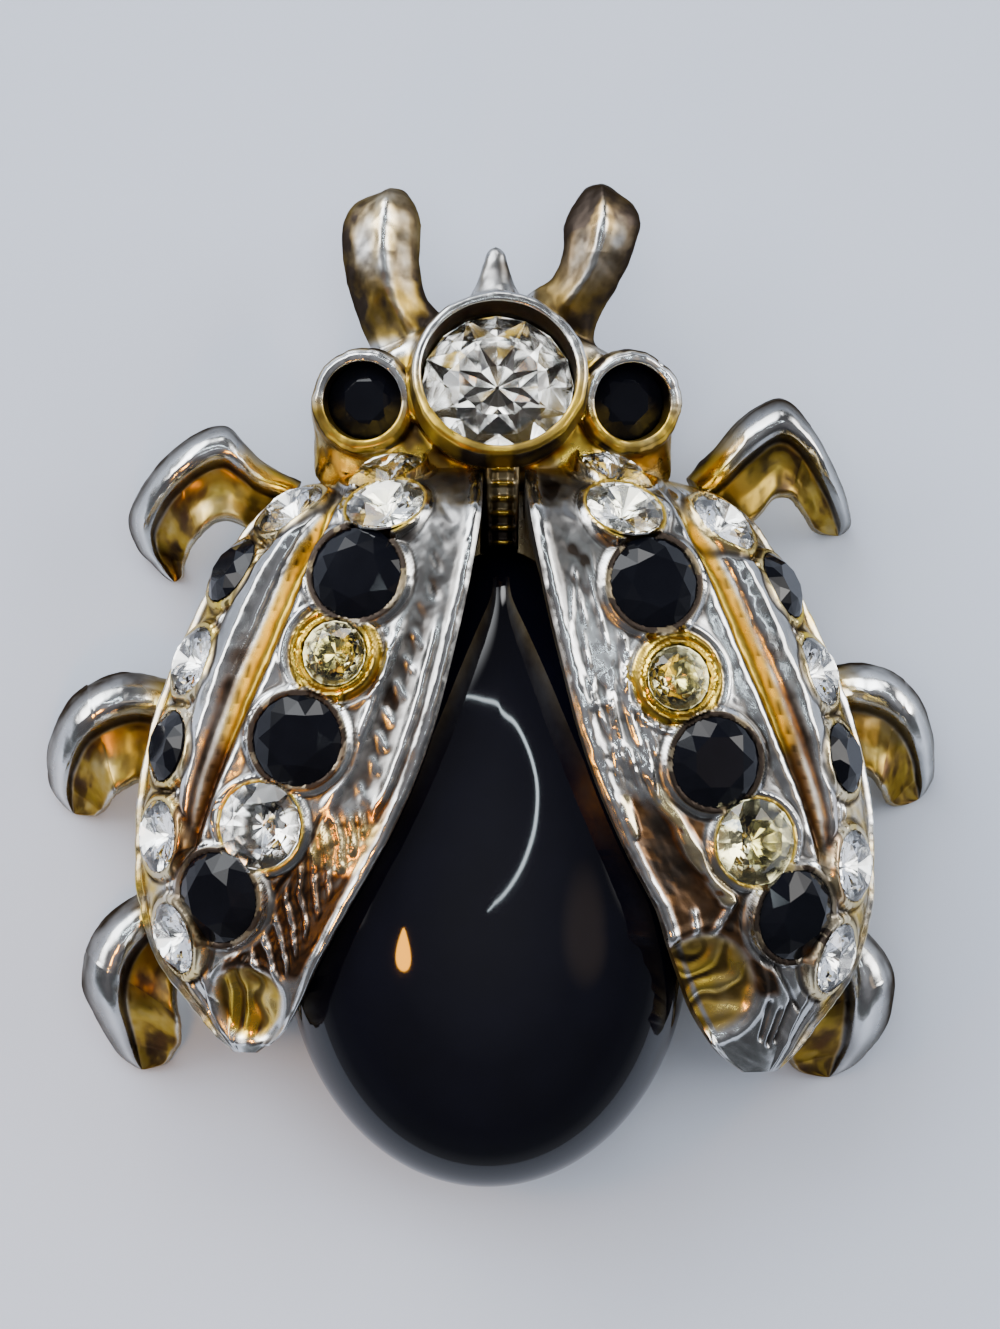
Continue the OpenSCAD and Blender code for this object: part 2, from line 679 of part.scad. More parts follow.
// Cabochon grown by a gap all round and upwards
module cabochon_form(gap) {
    n = cabochon_sides;
    half = cabochon_width / 2 + gap;
    function outline(angle) =
        let (c = cos(angle), s = sin(angle))
        s < 0
            ? [half * c, (cabochon_tail + gap) * s]
            : [half * sign(c) * pow(abs(c), tip_taper) + tip_drift * s,
                (cabochon_tip + gap) * s];
    apex = [0, apex_forward];
    edge_z = rim_z + cabochon_edge;
    function dome_ring(t) = [
        for (i = [0 : n - 1])
            let (p = apex + (outline(360 * i / n) - apex) * cos(t))
            [p[0], p[1], edge_z + (cabochon_dome + gap) * sin(t)]
    ];
    bottom = [
        for (i = [0 : n - 1])
            let (p = outline(360 * i / n)) [p[0], p[1], rim_z - gap]
    ];
    points = concat(
        bottom,
        [for (k = [0 : dome_steps - 1]) each dome_ring(90 * k / dome_steps)],
        [[apex[0], apex[1], edge_z + cabochon_dome + gap]]
    );
    top = n * (dome_steps + 1);
    faces = concat(
        [[for (i = [0 : n - 1]) i]],
        [for (k = [0 : dome_steps - 1]) for (i = [0 : n - 1])
            [k * n + i, (k + 1) * n + i, (k + 1) * n + (i + 1) % n, k * n + (i + 1) % n]],
        [for (i = [0 : n - 1]) [top - n + i, top, top - n + (i + 1) % n]]
    );
    translate([cabochon_x, cabochon_y, 0]) polyhedron(points, faces, convexity = 4);
}
module cabochon() {
    color([0.03, 0.03, 0.05]) cabochon_form(0);
}

// Head bezel: a cup whose rim leans forward
module in_head() {
    translate([0, head_y, head_rim_z]) rotate([-head_lean, 0, 0]) children();
}
module head_cup(gap) {
    r = crystal_size / 2 + stone_gap + head_wall + gap;
    hull() {
        in_head() translate([0, 0, -crystal_depth]) cylinder(r = r, h = crystal_depth, $fn = 40);
        translate([0, head_y, plate_bottom]) cylinder(r = r, h = plate_thickness, $fn = 40);
    }
}
module in_eye(side) {
    translate([side * eye_spread, head_y - eye_setback, eye_rim_z])
        rotate([eye_lean / 2, side * eye_lean, 0])
            children();
}
eye_depth = 0.35 * eye_size;
module eye_cup(side) {
    r = eye_size / 2 + stone_gap + eye_wall;
    hull() {
        in_eye(side) translate([0, 0, -eye_depth]) cylinder(r = r, h = eye_depth, $fn = 28);
        translate([side * eye_spread, head_y - eye_setback, plate_bottom])
            cylinder(r = r, h = plate_thickness, $fn = 28);
    }
}
module head_crystal() {
    color([0.92, 0.95, 1]) in_head() translate([0, 0, -crystal_depth]) cut_stone(crystal_size);
}
module eye_stone(side) {
    color([0.06, 0.06, 0.07]) in_eye(side) translate([0, 0, -eye_depth]) cut_stone(eye_size);
}

// Sweep between two rails: rows hold both rails and the height of the crest, the section is
// given across from the first rail to the second; travel has the first rail on its left
module rail_sweep(rows, section, size, height, thickness) {
    m = len(section);
    rings = [
        for (row = rows)
            let (top = row[4] * height, low = max(0, top - thickness))
            [
                for (p = section)
                    [
                        size * (row[0] + (row[2] - row[0]) * p[0]),
                        size * (row[1] + (row[3] - row[1]) * p[0]),
                        low + (top - low) * p[1]
                    ]
            ]
    ];
    last = (len(rows) - 1) * m;
    faces = concat(
        [for (i = [0 : len(rows) - 2]) for (j = [0 : m - 1])
            [i * m + j, (i + 1) * m + j, (i + 1) * m + (j + 1) % m, i * m + (j + 1) % m]],
        [[for (j = [0 : m - 1]) j]],
        [[for (j = [m - 1 : -1 : 0]) last + j]]
    );
    polyhedron([for (ring = rings) each ring], faces, convexity = 6);
}
module leg(wing, root, rows, size) {
    rim = wing_point(wing, root, 1);
    translate([rim[0], rim[1], 0])
        rail_sweep(rows, LEG_SECTION, size, leg_height, leg_thickness);
}
module legs() {
    left_side() {
        leg(LEFT_WING, LEFT_ROOTS[0], FRONT_LEFT, front_leg);
        leg(LEFT_WING, LEFT_ROOTS[1], MIDDLE_LEFT, middle_leg);
        leg(LEFT_WING, LEFT_ROOTS[2], REAR_LEFT, rear_leg);
    }
    right_side() {
        leg(RIGHT_WING, RIGHT_ROOTS[0], FRONT_RIGHT, front_leg);
        leg(RIGHT_WING, RIGHT_ROOTS[1], MIDDLE_RIGHT, middle_leg);
        leg(RIGHT_WING, RIGHT_ROOTS[2], REAR_RIGHT, rear_leg);
    }
}
module antennae() {
    translate([0, head_y, 0]) {
        rail_sweep(RIGHT_ANTENNA, ANTENNA_SECTION, antenna_length, antenna_height,
            antenna_thickness);
        mirror([1, 0, 0])
            rail_sweep(LEFT_ANTENNA, ANTENNA_SECTION, antenna_length, antenna_height,
                antenna_thickness);
    }
}
module horn() {
    front = head_y + crystal_size / 2 + head_wall;
    tip_r = 0.32;
    root_r = 0.72;
    hull() {
        translate([0, front + horn_length - tip_r, leg_height - tip_r])
            sphere(r = tip_r, $fn = 12);
        translate([0, front - root_r, leg_height]) sphere(r = root_r, $fn = 16);
    }
}

// Gold collar that joins the head, the eyes and the shoulders to the base plate
module collar() {
    bead = 0.6;
    eye_y = head_y - eye_setback;
    for (side = [-1, 1])
        hull() {
            translate([0, head_y, plate_bottom])
                cylinder(r = crystal_size / 2, h = collar_z - plate_bottom, $fn = 24);
            translate([side * eye_spread, eye_y, plate_bottom])
                cylinder(r = eye_size / 2 + eye_wall, h = collar_z - plate_bottom - bead / 2,
                    $fn = 24);
            translate([side * (shoulder - bead / 2), wing_front - bead / 2, plate_bottom])
                cylinder(r = bead, h = collar_z - plate_bottom - bead, $fn = 16);
            translate([0, wing_front - bead, plate_bottom])
                cylinder(r = bead, h = collar_z - plate_bottom, $fn = 16);
        }
}
// Narrow ridge in the gap between the wing cases, with small bars across it
module neck_ridge() {
    half = 0.55;
    front = wing_front;
    length = 3.1;
    front_top = collar_z + 2.1;
    back_top = front_top - 0.7;
    bar_r = 0.13;
    bars = 5;
    translate([seam_x, 0, 0]) {
        hull() {
            translate([-half, front - 0.3, plate_bottom])
                cube([2 * half, 0.3, front_top - bar_r - plate_bottom]);
            translate([-half, front - length, plate_bottom])
                cube([2 * half, 0.3, back_top - bar_r - plate_bottom]);
        }
        for (i = [1 : bars])
            let (t = i / (bars + 1), y = front - length * t, z = front_top - t * 0.7 - bar_r)
                hull() {
                    translate([-half + bar_r, y + bar_r, z]) sphere(r = bar_r, $fn = 8);
                    translate([half - bar_r, y - bar_r, z]) sphere(r = bar_r, $fn = 8);
                }
    }
}

plate_inset = 0.3;
plate_end = 0.86;
plate_steps = 14;
seam_overlap = 0.5;
function plate_edge(wing) = [
    for (i = [0 : plate_steps])
        let (p = wing_point(wing, plate_end * i / plate_steps, 1)) [p[0] - plate_inset, p[1]]
];
module wing_plate(wing) {
    polygon(concat(
        [[-seam_overlap, 0]], plate_edge(wing), [[-seam_overlap, -plate_end * wing[1]]]
    ));
}
module base_plate() {
    translate([0, 0, plate_bottom]) {
        left_side() linear_extrude(plate_thickness) wing_plate(LEFT_WING);
        right_side() linear_extrude(plate_thickness) wing_plate(RIGHT_WING);
        translate([cabochon_x, cabochon_y, 0])
            scale([cabochon_width / 2 - plate_inset, cabochon_tail - plate_inset, 1])
                cylinder(r = 1, h = plate_thickness, $fn = 48);
    }
}

// Space for the setting of the foremost stone, which stands out of the front of a wing case
module front_room(wing, place) {
    r = front_size / 2 + cup_wall + seat_gap;
    on_wing(wing, place)
        translate([0, 0, -collar_share * wing_wall - seat_gap])
            cylinder(r1 = r, r2 = r + 0.4 * wing_wall, h = wing_wall, $fn = 20);
}

// One casting: base plate, legs, collar, bezels, horn and antennae
module body_casting() {
    color("goldenrod") union() difference() {
        union() {
            base_plate();
            legs();
            collar();
            neck_ridge();
            head_cup(0);
            eye_cup(-1);
            eye_cup(1);
            horn();
            antennae();
        }
        left_side() wing_room(LEFT_WING, 2 * seat_gap);
        right_side() wing_room(RIGHT_WING, 2 * seat_gap);
        cabochon_form(seat_gap);
        left_side() front_room(LEFT_WING, LEFT_INNER[0]);
        right_side() front_room(RIGHT_WING, RIGHT_INNER[0]);
        in_head() translate([0, 0, -crystal_depth])
            stone_seat(crystal_size, 2 * crystal_depth);
        for (side = [-1, 1])
            in_eye(side) translate([0, 0, -eye_depth]) stone_seat(eye_size, 2 * eye_depth);
    }
}

// Plain pin back under the plate: a flat bar with two posts and a closed stem between them
module pin_back() {
    bar_thickness = 0.5;
    bar_z = plate_bottom - seat_gap - bar_thickness;
    post = 1.6;
    stem_low = 0.4;
    stem_z = stem_low + stem_d / 2;
    color("silver") union() {
        translate([-pin_length / 2, pin_y - pin_width / 2, bar_z])
            cube([pin_length, pin_width, bar_thickness]);
        for (side = [-1, 1])
            translate([side * (pin_length - post) / 2 - post / 2, pin_y - post / 2, stem_low])
                cube([post, post, bar_z - stem_low]);
        translate([-pin_length / 2 + post / 2, pin_y, stem_z])
            rotate([0, 90, 0])
                cylinder(d = stem_d, h = pin_length - post, $fn = 24);
    }
}

body_casting();
left_wing_case();
right_wing_case();
cabochon();
pin_back();
head_crystal();
eye_stone(-1);  // left_eye_stone
eye_stone(1);  // right_eye_stone
for (i = [1 : len(INNER_SIZES)]) {
    left_inner_stone(i - 1);
    right_inner_stone(i - 1);
}
for (i = [1 : len(OUTER_SIZES)]) {
    left_outer_stone(i - 1);
    right_outer_stone(i - 1);
}
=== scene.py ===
import math
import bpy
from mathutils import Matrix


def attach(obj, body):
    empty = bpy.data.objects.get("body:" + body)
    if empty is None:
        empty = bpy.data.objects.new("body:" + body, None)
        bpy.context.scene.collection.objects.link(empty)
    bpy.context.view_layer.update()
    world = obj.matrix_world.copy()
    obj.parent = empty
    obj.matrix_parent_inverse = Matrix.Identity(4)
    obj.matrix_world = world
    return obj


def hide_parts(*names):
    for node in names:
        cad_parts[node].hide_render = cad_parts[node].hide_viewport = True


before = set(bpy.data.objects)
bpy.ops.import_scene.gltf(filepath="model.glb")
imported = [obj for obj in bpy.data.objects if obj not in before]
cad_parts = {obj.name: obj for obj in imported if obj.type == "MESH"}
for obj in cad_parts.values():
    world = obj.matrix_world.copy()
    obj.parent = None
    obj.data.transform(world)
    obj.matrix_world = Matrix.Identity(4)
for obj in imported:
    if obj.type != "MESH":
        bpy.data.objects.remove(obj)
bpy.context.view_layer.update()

from types import SimpleNamespace

import bmesh
import bpy
import numpy as np
from bpy.props import FloatProperty, FloatVectorProperty, PointerProperty
from mathutils import Matrix, Vector

bl_info = {
    "name": "Beetle Brooch",
    "version": (1, 0, 0),
    "blender": (4, 5, 0),
    "location": "View3D > Sidebar > Brooch",
    "description": "Cast metal, stones and cabochon of a beetle brooch",
    "category": "Object",
}

MM = 0.001
SEED = 7

# Sizes shared with the part
S = {
    "left_length": 19.5, "right_length": 20.2, "left_reach": 12.0, "right_reach": 12.5,
    "right_flare": 0.045, "wing_front": 7.3, "seam_x": 0.15, "front_sweep": 0.9,
    "crown_height": 8.9, "wing_wall": 1.25, "plate_bottom": 2.6, "plate_top": 3.5,
    "rim_z": 3.55, "stone_gap": 0.06, "head_y": 9.95, "head_rim_z": 7.3, "head_lean": 16.0,
    "head_wall": 0.36, "crystal": 4.95, "crystal_depth": 1.3, "eye_spread": 4.45,
    "eye_y": 9.1, "eye_rim_z": 6.2, "eye": 2.45, "eye_wall": 0.42, "eye_lean": 10.0,
    "collar_z": 5.1, "shoulder": 5.9,
}
CROWN_RISE = S["crown_height"] - S["rim_z"]

# Columns: along, inner edge, outer edge, top, side
WING_SECTIONS = np.array([
    [0.000, 0.075, 0.560, 0.00, 0.00], [0.012, 0.066, 0.590, 0.25, 0.00],
    [0.030, 0.060, 0.620, 0.46, 0.00], [0.060, 0.058, 0.665, 0.70, 0.00],
    [0.100, 0.064, 0.705, 0.88, 0.00], [0.160, 0.080, 0.755, 0.96, 0.00],
    [0.250, 0.108, 0.828, 0.99, 0.00], [0.350, 0.146, 0.900, 1.00, 0.00],
    [0.450, 0.188, 0.955, 0.99, 0.00], [0.550, 0.245, 0.990, 0.96, 0.00],
    [0.650, 0.320, 1.000, 0.92, 0.00], [0.750, 0.412, 0.990, 0.85, 0.01],
    [0.850, 0.500, 0.935, 0.75, 0.05], [0.930, 0.560, 0.835, 0.60, 0.12],
    [0.970, 0.605, 0.785, 0.50, 0.18], [1.000, 0.665, 0.735, 0.40, 0.25],
])
TIP_FLARE = np.array([[0, 0], [0.72, 0], [0.80, 0.6], [0.88, 1], [0.94, 0.8], [1, 0.7]])
# Columns: along, outer border of the band, groove, outer foot of the rib, strength of the rib
WING_LINES = np.array([
    [0.00, 0.150, 0.440, 0.520, 0.0], [0.07, 0.152, 0.445, 0.540, 0.3],
    [0.13, 0.155, 0.450, 0.600, 0.9], [0.22, 0.160, 0.455, 0.665, 1.0],
    [0.32, 0.170, 0.462, 0.680, 1.0], [0.45, 0.182, 0.485, 0.660, 1.0],
    [0.58, 0.195, 0.525, 0.630, 0.8], [0.68, 0.215, 0.550, 0.620, 0.1],
    [0.82, 0.235, 0.560, 0.630, 0.0], [1.00, 0.250, 0.570, 0.640, 0.0],
])
# Columns: along, across, extra lean, turn, height above the face
LEFT_INNER = [
    [0.021, 0.310, -2, -11, 0.14], [0.084, 0.270, 0, 0, 0.05], [0.206, 0.284, 0, 0, 0],
    [0.336, 0.277, 0, 0, 0], [0.479, 0.303, 0, 0, 0], [0.619, 0.341, 3, 0, 0],
    [0.738, 0.425, 8, 0, 0],
]
RIGHT_INNER = [
    [0.021, 0.295, -2, -15, 0.14], [0.087, 0.258, 0, 0, 0.05], [0.213, 0.264, 0, 0, 0],
    [0.363, 0.251, 0, 0, 0], [0.497, 0.280, 0, 0, 0], [0.624, 0.331, 3, 0, 0],
    [0.742, 0.412, 8, 0, 0],
]
LEFT_OUTER = [
    [0.066, 0.643, 0, 0, 0], [0.189, 0.778, 0, 0, 0], [0.344, 0.768, 4, 0, 0],
    [0.487, 0.749, 8, 0, 0], [0.638, 0.726, 8, 0, 0], [0.808, 0.655, 12, 0, 0],
]
RIGHT_OUTER = [
    [0.090, 0.615, 0, 0, 0], [0.207, 0.758, 4, 0, 0], [0.348, 0.749, 4, 0, 0],
    [0.489, 0.733, 8, 0, 0], [0.665, 0.707, 8, 0, 0], [0.815, 0.640, 12, 0, 0],
]
INNER_SIZES = [2.55, 2.55, 3.1, 2.05, 3.1, 2.8, 3.1]
OUTER_SIZE = 2.35
INNER_KINDS = ["clear", "clear", "black", "tinted", "black", "clear", "black"]
OUTER_KINDS = ["clear", "black", "clear", "black", "clear", "clear"]
TINTED_PLACE = 3

# copper_reflection_from: share of the length where the lower band begins, with its coppery plating,
# painted warm and dark reflection and slanting bars
WINGS = {
    "left": {
        "reach": S["left_reach"], "length": S["left_length"], "flare": 0.0, "mirror": -1,
        "inner": LEFT_INNER, "outer": LEFT_OUTER, "scoop": [0.920, 0.32, 1.3, 1.5],
        "copper_reflection_from": 0.60, "bar_pitch": 0.66, "tail_way": [0.28, -0.96, 0.0],
    },
    "right": {
        "reach": S["right_reach"], "length": S["right_length"], "flare": S["right_flare"],
        "mirror": 1, "inner": RIGHT_INNER, "outer": RIGHT_OUTER,
        "scoop": [0.862, 0.07, 1.9, 1.95], "copper_reflection_from": 0.56, "bar_pitch": 0.9,
        "tail_way": [0.35, -0.94, 0.0],
    },
}

# Columns: outer rail outwards, outer rail forwards, inner rail outwards, inner rail forwards,
# height of the crest as a share of the leg height
LEGS = {
    "left_front_leg": ("left", 0.07, 5.0, [
        [-0.30, 0.28, -0.14, -0.06, 0.72], [-0.06, 0.40, 0.03, -0.05, 0.88],
        [0.08, 0.53, 0.12, -0.02, 0.96], [0.22, 0.64, 0.23, 0.00, 1.00],
        [0.47, 0.54, 0.33, -0.06, 1.00], [0.70, 0.33, 0.42, -0.15, 0.88],
        [0.86, 0.06, 0.46, -0.21, 0.67], [0.82, -0.15, 0.50, -0.26, 0.38],
        [0.72, -0.26, 0.51, -0.32, 0.21], [0.63, -0.37, 0.51, -0.38, 0.12]]),
    "right_front_leg": ("right", 0.05, 5.0, [
        [-0.34, 0.27, -0.10, -0.11, 0.72], [-0.19, 0.43, 0.01, -0.09, 0.88],
        [0.00, 0.65, 0.12, -0.02, 0.96], [0.27, 0.78, 0.23, 0.11, 1.00],
        [0.48, 0.60, 0.34, 0.11, 0.96], [0.62, 0.38, 0.40, 0.06, 0.88],
        [0.74, 0.19, 0.48, 0.00, 0.67], [0.83, 0.01, 0.58, -0.07, 0.38],
        [0.82, -0.09, 0.67, -0.11, 0.14]]),
    "left_middle_leg": ("left", 0.45, 5.0, [
        [-0.20, 0.26, -0.20, -0.34, 0.66], [-0.06, 0.32, -0.03, -0.39, 0.74],
        [0.13, 0.36, 0.10, -0.38, 0.80], [0.28, 0.35, 0.19, -0.42, 0.84],
        [0.46, 0.27, 0.26, -0.46, 0.84], [0.62, 0.12, 0.30, -0.50, 0.76],
        [0.74, -0.14, 0.34, -0.55, 0.58], [0.75, -0.38, 0.40, -0.60, 0.33],
        [0.67, -0.56, 0.48, -0.64, 0.14]]),
    "right_middle_leg": ("right", 0.414, 5.0, [
        [-0.20, 0.27, -0.18, -0.32, 0.66], [-0.03, 0.33, 0.04, -0.35, 0.74],
        [0.15, 0.34, 0.15, -0.40, 0.80], [0.32, 0.29, 0.21, -0.45, 0.84],
        [0.50, 0.14, 0.26, -0.52, 0.80], [0.63, -0.09, 0.31, -0.57, 0.62],
        [0.69, -0.33, 0.38, -0.62, 0.38], [0.67, -0.53, 0.49, -0.65, 0.14]]),
    "left_rear_leg": ("left", 0.80, 6.0, [
        [-0.20, 0.26, -0.26, -0.12, 0.66], [-0.02, 0.24, -0.18, -0.22, 0.74],
        [0.13, 0.16, -0.15, -0.32, 0.80], [0.27, 0.04, -0.15, -0.40, 0.84],
        [0.36, -0.12, -0.16, -0.48, 0.84], [0.38, -0.32, -0.17, -0.57, 0.75],
        [0.32, -0.51, -0.15, -0.66, 0.54], [0.23, -0.69, -0.09, -0.76, 0.29],
        [0.12, -0.81, 0.00, -0.82, 0.13]]),
    "right_rear_leg": ("right", 0.80, 6.0, [
        [-0.26, 0.28, -0.34, -0.12, 0.66], [-0.12, 0.23, -0.27, -0.23, 0.74],
        [0.00, 0.13, -0.31, -0.34, 0.80], [0.13, 0.00, -0.36, -0.42, 0.84],
        [0.21, -0.15, -0.41, -0.50, 0.84], [0.22, -0.31, -0.41, -0.57, 0.75],
        [0.19, -0.51, -0.36, -0.65, 0.54], [0.09, -0.67, -0.29, -0.73, 0.29],
        [-0.03, -0.77, -0.18, -0.79, 0.13]]),
}
LEG_HEIGHT, LEG_THICKNESS = 4.8, 1.9
# Grooves, lit streaks with their half widths, and pale bars near the right wing tip, as places
# on the brooch
TAIL_GROOVES = [
    [(8.30, -8.16), (8.86, -9.08), (9.36, -9.90), (9.82, -10.76)],
    [(8.89, -10.59), (8.62, -11.78)], [(9.25, -10.86), (8.89, -11.95)],
    [(9.62, -10.59), (9.15, -11.85)],
]
LIT_STREAKS = [([(5.08, -3.63), (6.22, -5.58), (7.30, -7.1)], 0.42),
               ([(3.98, -3.9), (4.27, -5.0)], 0.26)]
PALE_BARS = [[(6.28, -7.62), (6.41, -8.60)], [(7.53, -7.23), (6.87, -8.34)]]
# Columns: inner rail outwards, inner rail forwards, outer rail outwards, outer rail forwards,
# height of the crest as a share of the antenna height
LEFT_ANTENNA = [
    [0.19, 0.23, 0.56, 0.08, 0.85], [0.28, 0.36, 0.62, 0.19, 0.93],
    [0.33, 0.41, 0.69, 0.36, 0.96], [0.36, 0.52, 0.74, 0.54, 0.98],
    [0.36, 0.67, 0.75, 0.69, 1.00], [0.36, 0.79, 0.74, 0.78, 1.00],
    [0.39, 0.88, 0.70, 0.86, 0.96], [0.43, 0.94, 0.62, 0.91, 0.90],
    [0.47, 0.97, 0.54, 0.95, 0.80]]
RIGHT_ANTENNA = [
    [0.12, 0.42, 0.50, 0.14, 0.85], [0.20, 0.47, 0.50, 0.27, 0.93],
    [0.26, 0.50, 0.56, 0.40, 0.96], [0.31, 0.57, 0.63, 0.52, 0.98],
    [0.33, 0.66, 0.68, 0.65, 1.00], [0.33, 0.76, 0.72, 0.78, 1.00],
    [0.37, 0.86, 0.69, 0.87, 0.96], [0.43, 0.95, 0.62, 0.93, 0.90],
    [0.49, 1.00, 0.57, 1.00, 0.80]]
ANTENNA_LENGTH, ANTENNA_HEIGHT, ANTENNA_THICKNESS = 6.85, 5.4, 1.8
# Columns: across, height
LEG_SECTION = np.array([
    [0.00, 0.30], [0.05, 0.62], [0.14, 0.90], [0.27, 1.00], [0.38, 0.88], [0.47, 0.52],
    [0.70, 0.42], [0.93, 0.52], [1.00, 0.36], [0.96, 0.08], [0.50, 0.00], [0.08, 0.06]])
ANTENNA_SECTION = np.array([
    [0.00, 0.35], [0.10, 0.62], [0.32, 0.82], [0.48, 1.00], [0.62, 0.84], [0.88, 0.62],
    [1.00, 0.35], [0.88, 0.06], [0.50, 0.00], [0.12, 0.06]])

CABOCHON = {"width": 13.4, "tail": 8.25, "tip": 12.9, "dome": 3.9, "edge": 0.85,
            "x": -0.25, "y": -8.5, "taper": 1.3, "drift": 0.45, "apex": 1.0}
HEAD_STONES = {"head_crystal": "clear", "left_eye_stone": "black", "right_eye_stone": "black"}
HEAD_FOIL_DEPTH = 1.3
TINTS = {"right_inner_stone_6": "tinted", "left_inner_stone_2": "warm",
         "right_inner_stone_2": "warm", "left_inner_stone_1": "warm"}

# Soft spots of light in the room: bearing, height above the floor, inner and outer radius in
# degrees, strength, tint
ROOM_GLOWS = [
    (125, 28, 13, 28, 10.5, (0.94, 0.97, 1.0)), (22, 25, 11, 24, 9.5, (1.0, 0.98, 0.95)),
    (85, 27, 3, 9, 11.0, (1.0, 1.0, 1.0)), (162, 29, 8, 20, 9.0, (1.0, 0.98, 0.96)),
    (8, 18, 3, 8, 7.0, (1.0, 0.97, 0.93)), (-10, 53, 3, 12, 0.4, (1.0, 0.72, 0.45)),
]
AMBER_LAMP = {"place": (-13.8, -11.9, 26.9), "size": (1.5, 2.6), "power": 62.0,
              "tint": (1.0, 0.40, 0.02)}
ROOM_TONES = [(0.0, (0.42, 0.44, 0.48)), (0.22, (0.13, 0.14, 0.15)), (0.48, (0.10, 0.10, 0.11)),
              (0.82, (0.15, 0.15, 0.16)), (0.94, (0.25, 0.25, 0.27)), (1.0, (0.32, 0.32, 0.34))]
SOFT_LIGHT = {"place": (-60, 90, 420), "size": (420, 420), "power": 1.95}
CAMERA_PLACE, CAMERA_TARGET = (-5.1, -3.05, 120.0), (0.175, 0.535, 4.0)
ARC_PATH = [
    (-50, 59, 99), (-37, 58, 106), (-22, 55, 112), (-8, 53, 115), (8, 50, 116), (20, 47, 116),
    (31, 44, 115), (39, 37, 115), (43, 29, 116), (43, 22, 118), (39, 13, 121), (32, 5, 124),
    (23, -2, 126), (12, -8, 128), (1, -12, 128)]
# Bearing, height in degrees and radius of the panels that only the clear stones show
SPARKLE_PANELS = [
    (0, 88, 20), (15, 62, 24), (88, 58, 22), (160, 64, 26), (232, 60, 24), (300, 62, 22),
    (50, 34, 24), (120, 30, 22), (195, 36, 24), (265, 32, 22), (335, 34, 22)]
PANEL_DISTANCE, PANEL_POWER, PANEL_TINT = 150.0, 5.4, (1.0, 0.99, 0.96)
ARC_TINT = (0.80, 0.93, 1.0)
ARC_WIDTH = [0.5, 0.9, 1.3, 1.5, 1.7, 1.8, 1.9, 2.0, 2.0, 1.9, 1.7, 1.5, 1.2, 0.9, 0.5]

# Fineness of the model: stations along and points across or around each form
WING_ROWS, WING_COLUMNS, UNDER_COLUMNS = 330, 210, 40
LEG_ROWS, LEG_POINTS = 150, 96
ANTENNA_ROWS, ANTENNA_POINTS = 90, 60
BEZEL_STEPS, BEZEL_POINTS = 160, 40
HORN_RINGS, HORN_POINTS = 24, 32
NECK_ROWS, NECK_COLUMNS = 160, 40
DOME_STEPS, DOME_RINGS = 240, 70
FOIL_FACETS, GLOW_POINTS, ARC_STEPS, PLATE_POINTS = 16, 32, 60, 40
PLATE_VOXEL = 0.00016

# Wing cases, in millimetres: reach of a stone's seat along its axis, half width of the channel
# in the row, how it eases and blends into the seats, distance from the band's outer border to
# the row, height of the tinted stone's cup, and a distance beyond every form
SEAT_REACH, CHANNEL_HALF, CHANNEL_EASE, CHANNEL_BLEND = 2.2, 0.72, 0.12, 0.16
BAND_TO_ROW, CUP_HEIGHT, FAR = 1.95, 0.30, 9.0
# Shares of the length: start of the tail's hollow, rounded end of a sweep, reach of the plate
TAIL_FROM, SWEEP_END, PLATE_SHARE = 0.72, 0.09, 0.86
# Masks of a wing case's underside: gold, coppery plating, tarnish deepened as painted shade under
# the case, and polish
UNDER_PLATING = (0.5, 0.0, 0.55, 0.0)
CLEAR_GLASS_IOR, BLACK_GLASS_IOR, CABOCHON_IOR = 1.6, 1.30, 1.48


# Settings that a user may change
def length(name, description, default, low=0.0, high=0.01):
    return FloatProperty(name=name, description=description, default=default, min=low,
                         max=high, subtype="DISTANCE", unit="LENGTH", precision=5)


def share(name, description, default, low=0.0, high=1.0):
    return FloatProperty(name=name, description=description, default=default, min=low,
                         max=high, subtype="FACTOR")


def colour(name, description, default):
    return FloatVectorProperty(name=name, description=description, default=default, size=3,
                               min=0.0, max=1.0, subtype="COLOR")


class WingSettings(bpy.types.PropertyGroup):
    lip: length("Lip height", "Height of the thin lips along the broad band", 0.00016)
    rib: length("Rib height", "Height of the leaf-shaped rib", 0.00056)
    groove: length("Groove depth", "Depth of the gold groove beside the rib", 0.00045)
    channel: length("Channel depth", "Depth of the hollow around the stones", 0.00018)
    stroke: length("Stroke depth", "Depth of the hammer strokes on the broad band", 0.00007)
    bar: length("Bar height", "Height of the slanting bars near the tail", 0.00014)
    scoop: length("Scoop depth", "Depth of the hollow in the wing tip", 0.0005)


class LegSettings(bpy.types.PropertyGroup):
    crest: share("Crest sharpness", "How sharp the bright ridge of a leg is", 0.6)
    mottle: length("Casting waves", "Height of the uneven cast surface", 0.00004)


class HeadSettings(bpy.types.PropertyGroup):
    voxel: length("Blend size", "Grain at which the head's forms are fused", 0.000085)
    rim: length("Rim width", "Width of the bright rims of the bezels", 0.00022)


class CabochonSettings(bpy.types.PropertyGroup):
    black: colour("Glass colour", "Body colour of the cabochon", (0.0010, 0.0011, 0.0028))
    gloss: share("Polish roughness", "Roughness of the polished dome", 0.035)


class StoneSettings(bpy.types.PropertyGroup):
    clear: colour("Clear glass", "Colour of the clear stones", (0.97, 0.98, 0.985))
    tinted: colour("Tinted glass", "Colour of the yellowed stones", (1.0, 0.94, 0.54))
    black: colour("Black glass", "Colour of the black stones", (0.0016, 0.0018, 0.0030))


